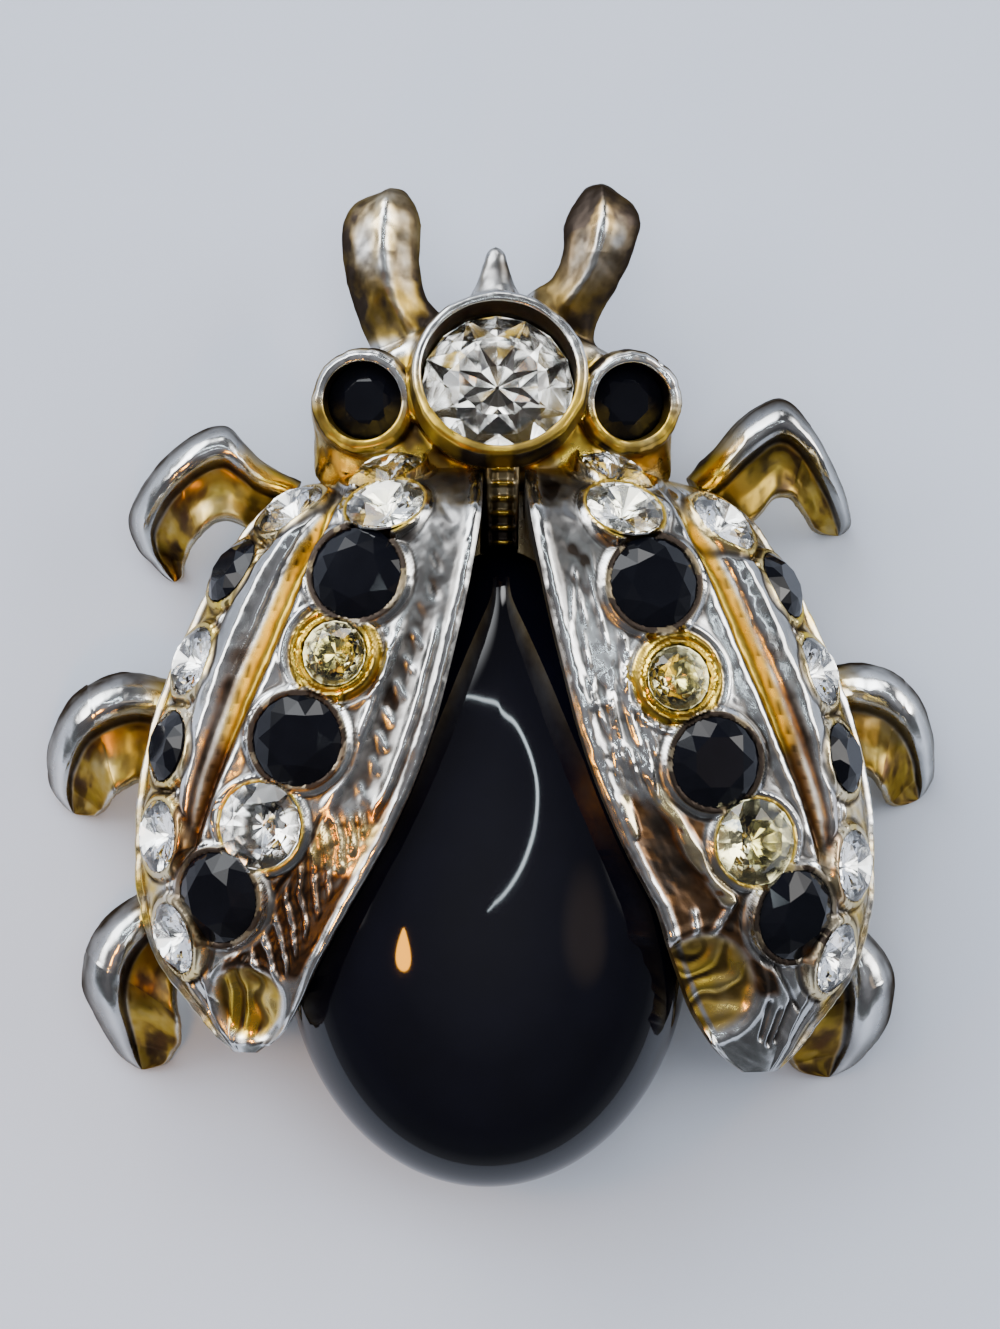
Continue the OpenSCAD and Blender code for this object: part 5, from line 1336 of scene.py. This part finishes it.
def base_plate(material):
    """Base plate: two wing outlines and the oval under the cabochon, fused, edges softened."""
    oval = circle(1, 0, 96)[:, :2] * [CABOCHON["width"] / 2 - 0.3, CABOCHON["tail"] - 0.3]
    outlines = [plate_outline(WINGS["left"]), plate_outline(WINGS["right"]),
                oval + [CABOCHON["x"], CABOCHON["y"]]]
    parts = []
    for k, outline in enumerate(outlines):
        n = len(outline)
        low = np.column_stack([outline, np.full(n, S["plate_bottom"] + 0.002 * k)])
        high = np.column_stack([outline, np.full(n, S["plate_top"] - 0.002 * k)])
        faces = end_caps(2, n) + [(i, (i + 1) % n, n + (i + 1) % n, n + i) for i in range(n)]
        parts.append(link_mesh("base_plate", np.concatenate([low, high]), faces))
        correct_normals(parts[-1].data)
    plate = join_all(parts)
    fuse_and_soften(plate, PLATE_VOXEL, 4)
    points = mesh_points(plate.data)
    wave = mottle(points[:, 0] * 0.7, points[:, 1] * 0.7, 91)
    points[:, 2] += 0.03 * wave
    plate.data.vertices.foreach_set("co", (points * MM).ravel())
    # Painted shade darkens the plate towards its lower edge.
    edge = smoothstep(0.25, 0.0, points[:, 2] - S["plate_bottom"])
    set_plating(plate.data, np.stack([0.55 + 0.3 * wave, 0.15 + 0 * wave,
                                      0.35 * smoothstep(-0.2, 0.6, wave) * edge], 1))
    finish_piece(plate, ["body_casting"], material, 45)
    return plate


def settled(offset, segments):
    """The primitive just added, its place and size applied and its edges rounded."""
    bpy.ops.object.transform_apply(location=True, rotation=True, scale=True)
    bpy.ops.object.mode_set(mode="EDIT")
    bpy.ops.mesh.select_all(action="SELECT")
    bpy.ops.mesh.bevel(offset=offset, segments=segments, affect="EDGES")
    bpy.ops.object.mode_set(mode="OBJECT")
    return bpy.context.active_object


def pin_piece(material):
    """Flat bar with two posts and a closed stem, edges rounded."""
    bar_z, bar_high, bar_wide, half, y = 2.05, 0.5, 2.4, 8.5, 1.6
    post, foot = 1.6, 0.4
    post_high = bar_z + 0.1 - foot
    boxes = [((0, y, bar_z + bar_high / 2), (2 * half, bar_wide, bar_high))]
    boxes += [((s * (half - post / 2), y, foot + post_high / 2), (post, post, post_high))
              for s in (-1, 1)]
    made = []
    for place, size in boxes:
        bpy.ops.object.select_all(action="DESELECT")
        bpy.ops.mesh.primitive_cube_add(size=1, location=[c * MM for c in place])
        bpy.context.active_object.scale = [c * MM for c in size]
        made.append(settled(0.00014, 3))
    bpy.ops.object.select_all(action="DESELECT")
    bpy.ops.mesh.primitive_cylinder_add(vertices=48, radius=0.35 * MM, depth=15.4 * MM,
                                        location=(0, y * MM, 0.75 * MM),
                                        rotation=(0, math.pi / 2, 0))
    made.append(settled(0.00006, 2))
    pin = join_all(made)
    pin.name = pin.data.name = "pin_bar_and_stem"
    finish_piece(pin, ["pin_back"], material, 30)
    return pin


def stone_foil(name, ends, size, material, star=False):
    """Thin mirror foil behind a clear stone; the head crystal's is a shallow faceted star."""
    centre, axis, r, n = ends[0], ends[1] - ends[0], size / 2, FOIL_FACETS
    side = np.cross([0.0, 1.0, 0.0], axis)
    side /= np.linalg.norm(side)
    other = np.cross(axis, side)
    turn = np.linspace(0, 2 * np.pi, n, endpoint=False)
    sides = np.cos(turn)[:, None] * side + np.sin(turn)[:, None] * other
    odd = np.arange(n) % 2
    rings = [(r + 0.035, 0.0)]
    if star:
        rings += [(0.62 * r, (0.11 + 0.07 * odd) * r), (0.30 * r, (0.24 - 0.05 * odd) * r)]
    rings += [(0.03 * r, (0.30 if star else 0.575) * r), (0.03 * r, 0.62 * r),
              (r + 0.05, 0.05 * r)]
    points = [centre + radius * sides - np.broadcast_to(depth, n)[:, None] * axis
              for radius, depth in rings]
    faces = []
    for k, (a, b, c, d) in enumerate(ring_faces(len(rings), n, True)):
        if star and k < 3 * n:
            faces += [(a, b, c), (a, c, d)] if k % n % 2 else [(a, b, d), (b, c, d)]
        else:
            faces.append((a, b, c, d))
    return new_piece(name, np.concatenate(points), faces, None, material, None, 5)


# Finishes
def add_node(nodes, kind, inputs, **settings):
    """Adds a shader node; its inputs are set, or linked where a socket is given."""
    node = nodes.new("ShaderNode" + kind)
    for key, value in settings.items():
        setattr(node, key, value)
    feed(node, inputs)
    return node


def feed(node, inputs):
    """Sets or links inputs of a node, given by name or number."""
    for key, value in inputs.items():
        if isinstance(value, bpy.types.NodeSocket):
            node.id_data.links.new(value, node.inputs[key])
        else:
            node.inputs[key].default_value = value


def new_material(name):
    material = bpy.data.materials.new(name)
    material.use_nodes = True
    nodes = material.node_tree.nodes
    return material, nodes, nodes["Principled BSDF"]


def add_noise(nodes, place, scale, detail=3.0, rough=0.55):
    return add_node(nodes, "TexNoise", {"Vector": place, "Scale": scale, "Detail": detail,
                                        "Roughness": rough}).outputs["Fac"]


def mix_colour(nodes, factor, a, b, blend="MIX"):
    mix = add_node(nodes, "Mix", {}, data_type="RGBA", blend_type=blend)
    feed(mix, {"Factor": factor})
    first, second = [k for k, socket in enumerate(mix.inputs) if socket.type == "RGBA"]
    feed(mix, {k: tone if isinstance(tone, bpy.types.NodeSocket) else (*tone, 1)
               for k, tone in ((first, a), (second, b))})
    return [socket for socket in mix.outputs if socket.type == "RGBA"][0]


def compute(nodes, operation, a, b):
    return add_node(nodes, "Math", {0: a, 1: b}, operation=operation).outputs[0]


def spread(nodes, value, low, high, to_low=0.0, to_high=1.0):
    return add_node(nodes, "MapRange", {"Value": value, "From Min": low, "From Max": high,
                                        "To Min": to_low, "To Max": to_high}).outputs["Result"]


def plating_group(settings):
    """Silver, gilt, coppery plating and tarnish mixed by masks, with uneven edges; the coppery and
    tarnish masks also carry painted reflection and shade, and the polish input screens in a painted
    highlight.
    """
    group = bpy.data.node_groups.new("brooch_plating", "ShaderNodeTree")
    for name, way, kind in (
            ("Masks", "INPUT", "Color"), ("Polish", "INPUT", "Float"), ("Place", "INPUT", "Vector"),
            ("Color", "OUTPUT", "Color"), ("Roughness", "OUTPUT", "Float"),
            ("Height", "OUTPUT", "Float")):
        group.interface.new_socket(name, in_out=way, socket_type="NodeSocket" + kind)
    nodes = group.nodes
    start, end = nodes.new("NodeGroupInput"), nodes.new("NodeGroupOutput")
    place, polish_and_highlight = start.outputs["Place"], start.outputs["Polish"]
    gold_mask, copper_and_reflection_mask, tarnish_and_shade_mask = add_node(
        nodes, "SeparateColor", {0: start.outputs["Masks"]}).outputs
    broad = add_noise(nodes, place, 420.0, 4.0, 0.6)
    fine = add_noise(nodes, place, 2600.0, 3.0, 0.6)
    cloud = add_noise(nodes, place, 150.0, 2.0, 0.5)
    uneven = spread(nodes, broad, 0.25, 0.75, -0.22, 0.22)

    tone = mix_colour(nodes, spread(nodes, cloud, 0.35, 0.65),
                      tuple(0.44 * c for c in settings.silver), settings.silver)
    gold = mix_colour(nodes, spread(nodes, broad, 0.3, 0.7), settings.gold,
                      tuple(c * k for c, k in zip(settings.gold, (1.35, 1.3, 1.25))))
    for mask, over in ((gold_mask, gold), (copper_and_reflection_mask, settings.copper_and_reflection),
                       (tarnish_and_shade_mask, settings.tarnish_and_shade)):
        factor = spread(nodes, compute(nodes, "ADD", mask, uneven), 0.18, 0.88)
        tone = mix_colour(nodes, factor, tone, over)

    rough = compute(nodes, "MULTIPLY", tarnish_and_shade_mask, 0.25)
    rough = compute(nodes, "ADD", rough, spread(nodes, fine, 0.3, 0.7, 0.15, 0.27))
    rough = compute(nodes, "ADD", rough, compute(nodes, "MULTIPLY", gold_mask, 0.05))
    rough = compute(nodes, "SUBTRACT", rough, compute(nodes, "MULTIPLY", polish_and_highlight, 0.07))
    height = compute(nodes, "ADD", compute(nodes, "MULTIPLY", broad, 1.6),
                     compute(nodes, "MULTIPLY", fine, 0.35))
    # Screening the colour over itself where the polish input is high paints a highlight; the same
    # input also lowers the roughness.
    feed(end, {"Color": mix_colour(nodes, polish_and_highlight, tone, tone, "SCREEN"), "Roughness": rough,
               "Height": height})
    return group


def add_bump(nodes, shader, height, strength, distance):
    bump = add_node(nodes, "Bump", {"Strength": strength, "Distance": distance, "Height": height})
    feed(shader, {"Normal": bump.outputs["Normal"]})


def plated_metal(scene):
    """Uneven plated casting metal, reading each piece's own masks."""
    made = bpy.data.materials.get("plated_casting")
    if made:
        return made
    material, nodes, shader = new_material("plated_casting")
    masks = add_node(nodes, "Attribute", {}, attribute_name="plating")
    plating = add_node(nodes, "Group", {}, node_tree=plating_group(scene.brooch_metal))
    feed(plating, {"Masks": masks.outputs["Color"], "Polish": masks.outputs["Alpha"],
                   "Place": nodes.new("ShaderNodeTexCoord").outputs["Object"]})
    feed(shader, {"Metallic": 1.0, "Specular Tint": (0.42, 0.40, 0.37, 1),
                  "Base Color": plating.outputs["Color"],
                  "Roughness": plating.outputs["Roughness"]})
    add_bump(nodes, shader, plating.outputs["Height"], 0.35, 0.00005)
    return material


def speckled(name, tone, other, scale, rough, metallic=0.0, transmission=0.0, ior=1.5,
             bump_size=0.0):
    """A plain shader whose colour and roughness wander a little between two values."""
    made = bpy.data.materials.get(name)
    if made:
        return made
    material, nodes, shader = new_material(name)
    place = nodes.new("ShaderNodeTexCoord").outputs["Object"]
    cloud = add_noise(nodes, place, scale)
    factor = spread(nodes, cloud, 0.3, 0.7)
    feed(shader, {"Base Color": mix_colour(nodes, factor, tone, other),
                  "Roughness": spread(nodes, cloud, 0.3, 0.7, *rough), "Metallic": metallic,
                  "Transmission Weight": transmission, "IOR": ior})
    if bump_size:
        add_bump(nodes, shader, cloud, 0.4, bump_size)
    return material


def shade(tone, factor):
    return tuple(min(1.0, c * factor) for c in tone)


def cabochon_glass(scene):
    tone, gloss = tuple(scene.brooch_cabochon.black), scene.brooch_cabochon.gloss
    return speckled("cabochon_glass", tone, shade(tone, 1.6), 300.0, (gloss, gloss + 0.02),
                    ior=CABOCHON_IOR)


def stone_glass(scene, kind):
    stones = scene.brooch_stone
    clear, tinted, black = tuple(stones.clear), tuple(stones.tinted), tuple(stones.black)
    if kind == "black":
        return speckled("black_glass", black, shade(black, 1.8), 400.0, (0.05, 0.10),
                        ior=BLACK_GLASS_IOR)
    warm = tuple(0.6 * a + 0.4 * b for a, b in zip(clear, tinted))
    tone, other, scale, rough = {"clear": (clear, shade(clear, 0.96), 500.0, 0.015),
                                 "tinted": (tinted, shade(tinted, 0.85), 500.0, 0.02),
                                 "warm": (warm, clear, 900.0, 0.02)}[kind]
    return speckled(kind + "_glass", tone, other, scale, (0.0, rough), transmission=1.0,
                    ior=CLEAR_GLASS_IOR)


def foil_metal():
    return speckled("mirror_foil", (0.96, 0.96, 0.94), (0.84, 0.85, 0.85), 700.0, (0.06, 0.16),
                    metallic=1.0)


def steel_metal():
    return speckled("pin_steel", (0.44, 0.42, 0.38), (0.30, 0.27, 0.22), 600.0, (0.24, 0.42),
                    metallic=1.0, bump_size=0.00003)


# Stage
def stage_floor(tone):
    bpy.ops.object.select_all(action="DESELECT")
    bpy.ops.mesh.primitive_grid_add(x_subdivisions=8, y_subdivisions=8, size=1.6)
    floor = bpy.context.active_object
    floor.name = floor.data.name = "floor"
    floor.data.materials.append(speckled("floor_finish", tone, shade(tone, 0.96), 40.0,
                                         (0.8, 0.95)))
    return floor


def soft_lamp():
    """Large soft light above and behind the brooch."""
    lamp = bpy.data.lights.new("soft_light", "AREA")
    lamp.shape, lamp.energy = "RECTANGLE", SOFT_LIGHT["power"]
    lamp.size, lamp.size_y = (side * MM for side in SOFT_LIGHT["size"])
    holder = link_object("soft_light", lamp)
    place = Vector(SOFT_LIGHT["place"]) * MM
    turn = (-place).to_track_quat("-Z", "Y").to_matrix().to_4x4()
    holder.matrix_world = Matrix.Translation(place) @ turn
    holder.visible_glossy = False
    return holder


def view_camera(focal):
    """Camera above the brooch, a little to the left and towards the tail."""
    camera = bpy.data.cameras.new("view_from_above")
    camera.lens, camera.sensor_width, camera.sensor_fit = focal, 36.0, "HORIZONTAL"
    camera.clip_start, camera.clip_end = 0.005, 10.0
    camera.dof.use_dof = False
    holder = link_object("view_from_above", camera)
    eye, target = np.array(CAMERA_PLACE), np.array(CAMERA_TARGET)
    back = (eye - target) / np.linalg.norm(eye - target)
    right = np.cross([0.0, 1.0, 0.0], back)
    right /= np.linalg.norm(right)
    turn = Matrix(np.column_stack([right, np.cross(back, right), back]).tolist()).to_4x4()
    holder.matrix_world = Matrix.Translation(Vector(eye * MM)) @ turn
    return holder


def direction(bearing, rise):
    a, b = math.radians(bearing), math.radians(rise)
    return math.cos(b) * math.cos(a), math.cos(b) * math.sin(a), math.sin(b)


def room_light():
    """Dim room with soft spots of light around the brooch."""
    world = bpy.data.worlds.new("room")
    world.use_nodes = True
    nodes = world.node_tree.nodes
    view = nodes.new("ShaderNodeTexCoord").outputs["Generated"]
    parts = add_node(nodes, "SeparateXYZ", {0: view})
    ramp = add_node(nodes, "ValToRGB", {"Fac": parts.outputs["Z"]})
    stops = ramp.color_ramp.elements
    for k, (where, tone) in enumerate(ROOM_TONES):
        stop = stops[k] if k < 2 else stops.new(where)
        stop.position = where
        stop.color = (*tone, 1)
    light = ramp.outputs["Color"]
    for bearing, rise, inner, outer, strength, tint in ROOM_GLOWS:
        aim = add_node(nodes, "VectorMath", {0: view, 1: direction(bearing, rise)},
                       operation="DOT_PRODUCT")
        fade = add_node(nodes, "MapRange", {
            "Value": aim.outputs["Value"], "From Min": math.cos(math.radians(outer)),
            "From Max": math.cos(math.radians(inner))}, interpolation_type="SMOOTHSTEP")
        glow = add_node(nodes, "VectorMath", {
            0: tuple(strength * c for c in tint), "Scale": fade.outputs["Result"]},
            operation="SCALE")
        total = add_node(nodes, "VectorMath", {0: light, 1: glow.outputs["Vector"]})
        light = total.outputs["Vector"]
    feed(nodes["Background"], {"Color": light})
    return world


def glow_shape(name, points, faces, finish, tint, power):
    """A glowing mesh that the camera doesn't see."""
    shape = link_mesh(name, points, faces)
    material, nodes, shader = new_material(finish)
    nodes.remove(shader)
    glow = add_node(nodes, "Emission", {"Color": (*tint, 1), "Strength": power})
    feed(nodes["Material Output"], {"Surface": glow.outputs[0]})
    shape.data.materials.append(material)
    shape.visible_camera = False
    return shape


def amber_lamp():
    """Small oval lamp near the left wing tip that gives the orange glints."""
    lamp = AMBER_LAMP
    points = circle(1.0, 0.0, GLOW_POINTS)
    points[:, 0] *= 1 - 0.55 * points[:, 1]
    points = points * [*lamp["size"], 1] + lamp["place"]
    disc = glow_shape("amber_lamp", points, [tuple(range(GLOW_POINTS))], "amber_light",
                      lamp["tint"], lamp["power"])
    disc.visible_shadow = False
    return disc


def sparkle_panels():
    """Round panels seen only through the clear stones, for their bright facets."""
    points, faces = [], []
    for bearing, rise, radius in SPARKLE_PANELS:
        way = Vector(direction(bearing, rise))
        turn = np.array(way.to_track_quat("Z", "Y").to_matrix())
        faces.append(tuple(range(len(points), len(points) + GLOW_POINTS)))
        points += (circle(radius, 0.0, GLOW_POINTS) @ turn.T
                   + np.array(way) * PANEL_DISTANCE).tolist()
    panels = glow_shape("sparkle_panels", points, faces, "sparkle_light", PANEL_TINT, PANEL_POWER)
    panels.visible_diffuse = panels.visible_glossy = panels.visible_shadow = False
    return panels


def arc_strip(power):
    """Curved strip light whose reflection curves over the cabochon."""
    stations = np.linspace(0, 1, len(ARC_PATH))
    fine = np.linspace(0, 1, ARC_STEPS)
    path = np.stack([smooth_column(np.column_stack([stations, column]), 1, fine)
                     for column in np.array(ARC_PATH, dtype=float).T], 1)
    wide = np.interp(fine, stations, ARC_WIDTH)
    points, faces = [], []
    for k, p in enumerate(path):
        along = path[min(k + 1, len(path) - 1)] - path[max(k - 1, 0)]
        across = np.cross(along, p)
        across /= np.linalg.norm(across)
        points += [p - across * wide[k] / 2, p + across * wide[k] / 2]
        if k:
            faces.append((2 * k - 2, 2 * k - 1, 2 * k + 1, 2 * k))
    return glow_shape("arc_strip", points, faces, "arc_light", ARC_TINT, power)


def set_stage(settings):
    scene = bpy.context.scene
    floor, holder = stage_floor(tuple(settings.floor)), soft_lamp()
    arc_strip(settings.arc_power)
    amber_lamp()
    sparkle_panels()
    scene.world = room_light()
    scene.camera = view_camera(settings.focal)


# Operators
class BROOCH_OT_wing_cases(bpy.types.Operator):
    """Models the two wing cases with their relief"""
    bl_idname = "brooch.wing_cases"
    bl_label = "Wing Cases"

    def execute(self, context):
        for side in ("left", "right"):
            wing_case(side, context.scene.brooch_wing, plated_metal(context.scene))
        return {"FINISHED"}


class BROOCH_OT_legs(bpy.types.Operator):
    """Models the six crescent legs"""
    bl_idname = "brooch.legs"
    bl_label = "Legs"

    def execute(self, context):
        for name in LEGS:
            leg(name, context.scene.brooch_leg, plated_metal(context.scene))
        return {"FINISHED"}


class BROOCH_OT_head(bpy.types.Operator):
    """Models the head casting with its antennae, horn and three bezels"""
    bl_idname = "brooch.head"
    bl_label = "Head"

    def execute(self, context):
        settings, metal = context.scene.brooch_head, plated_metal(context.scene)
        fused_head(settings, metal)
        rim = settings.rim / MM
        bezel("head_bezel", S["crystal"] / 2, S["head_wall"], S["crystal_depth"] - 0.1,
              head_frame, rim, metal, 73)
        for side, name in ((-1, "left_eye_bezel"), (1, "right_eye_bezel")):
            bezel(name, S["eye"] / 2, S["eye_wall"], 0.9,
                  lambda points, side=side: eye_frame(points, side), rim, metal, 75 + side)
        neck_ladder(metal)
        return {"FINISHED"}


class BROOCH_OT_cabochon(bpy.types.Operator):
    """Models the polished black cabochon"""
    bl_idname = "brooch.cabochon"
    bl_label = "Cabochon"

    def execute(self, context):
        cabochon_dome(cabochon_glass(context.scene))
        return {"FINISHED"}


class BROOCH_OT_stones(bpy.types.Operator):
    """Gives the cut stones their glass and sets mirror foils behind the clear ones"""
    bl_idname = "brooch.stones"
    bl_label = "Stones"

    def execute(self, context):
        scene, foil = context.scene, foil_metal()
        ends = head_frame(np.array([[0, 0, -HEAD_FOIL_DEPTH], [0, 0, 1 - HEAD_FOIL_DEPTH]]))
        stone_foil("head_crystal_foil", ends, S["crystal"], foil, True)
        kinds = dict(HEAD_STONES)
        for side, wing in WINGS.items():
            for group, sizes, row_kinds in (("inner", INNER_SIZES, INNER_KINDS),
                                            ("outer", [OUTER_SIZE] * 6, OUTER_KINDS)):
                for k, (place, size, kind) in enumerate(zip(wing[group], sizes, row_kinds), 1):
                    name = f"{side}_{group}_stone_{k}"
                    kinds[name] = TINTS.get(name, kind)
                    if kind != "black":
                        centre, axis = stone_frame(wing, place)
                        ends = to_world(wing, np.stack([centre, centre + axis]))
                        stone_foil(name + "_foil", ends, size, foil)
        for name, kind in kinds.items():
            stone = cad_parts[name]
            stone.data.materials.clear()
            stone.data.materials.append(stone_glass(scene, kind))
        return {"FINISHED"}


class BROOCH_OT_base(bpy.types.Operator):
    """Models the base plate and the pin at the back"""
    bl_idname = "brooch.base"
    bl_label = "Base and Pin"

    def execute(self, context):
        base_plate(plated_metal(context.scene))
        pin_piece(steel_metal())
        return {"FINISHED"}


class BROOCH_OT_stage(bpy.types.Operator):
    """Sets up the floor, the lights and the camera"""
    bl_idname = "brooch.stage"
    bl_label = "Stage"

    def execute(self, context):
        set_stage(context.scene.brooch_stage)
        return {"FINISHED"}


OPERATORS = (BROOCH_OT_wing_cases, BROOCH_OT_legs, BROOCH_OT_head, BROOCH_OT_cabochon,
             BROOCH_OT_stones, BROOCH_OT_base, BROOCH_OT_stage)


class BROOCH_PT_panel(bpy.types.Panel):
    """Lists the pieces of the brooch and their settings"""
    bl_idname = "BROOCH_PT_panel"
    bl_label = "Beetle Brooch"
    bl_space_type = "VIEW_3D"
    bl_region_type = "UI"
    bl_category = "Brooch"

    def draw(self, context):
        for operator in OPERATORS:
            self.layout.operator(operator.bl_idname)
        for key in SETTINGS:
            box = self.layout.box()
            settings = getattr(context.scene, key)
            for name in settings.bl_rna.properties.keys():
                if name not in ("rna_type", "name"):
                    box.prop(settings, name)


def register():
    for group in SETTINGS.values():
        bpy.utils.register_class(group)
    for operator in OPERATORS:
        bpy.utils.register_class(operator)
    bpy.utils.register_class(BROOCH_PT_panel)
    for key, group in SETTINGS.items():
        setattr(bpy.types.Scene, key, PointerProperty(type=group))


def unregister():
    for key in SETTINGS:
        delattr(bpy.types.Scene, key)
    bpy.utils.unregister_class(BROOCH_PT_panel)
    for operator in reversed(OPERATORS):
        bpy.utils.unregister_class(operator)
    for group in reversed(list(SETTINGS.values())):
        bpy.utils.unregister_class(group)


def main():
    register()
    for operator in OPERATORS:
        part, name = operator.bl_idname.split(".")
        getattr(getattr(bpy.ops, part), name)()


if __name__ == "__main__":
    main()
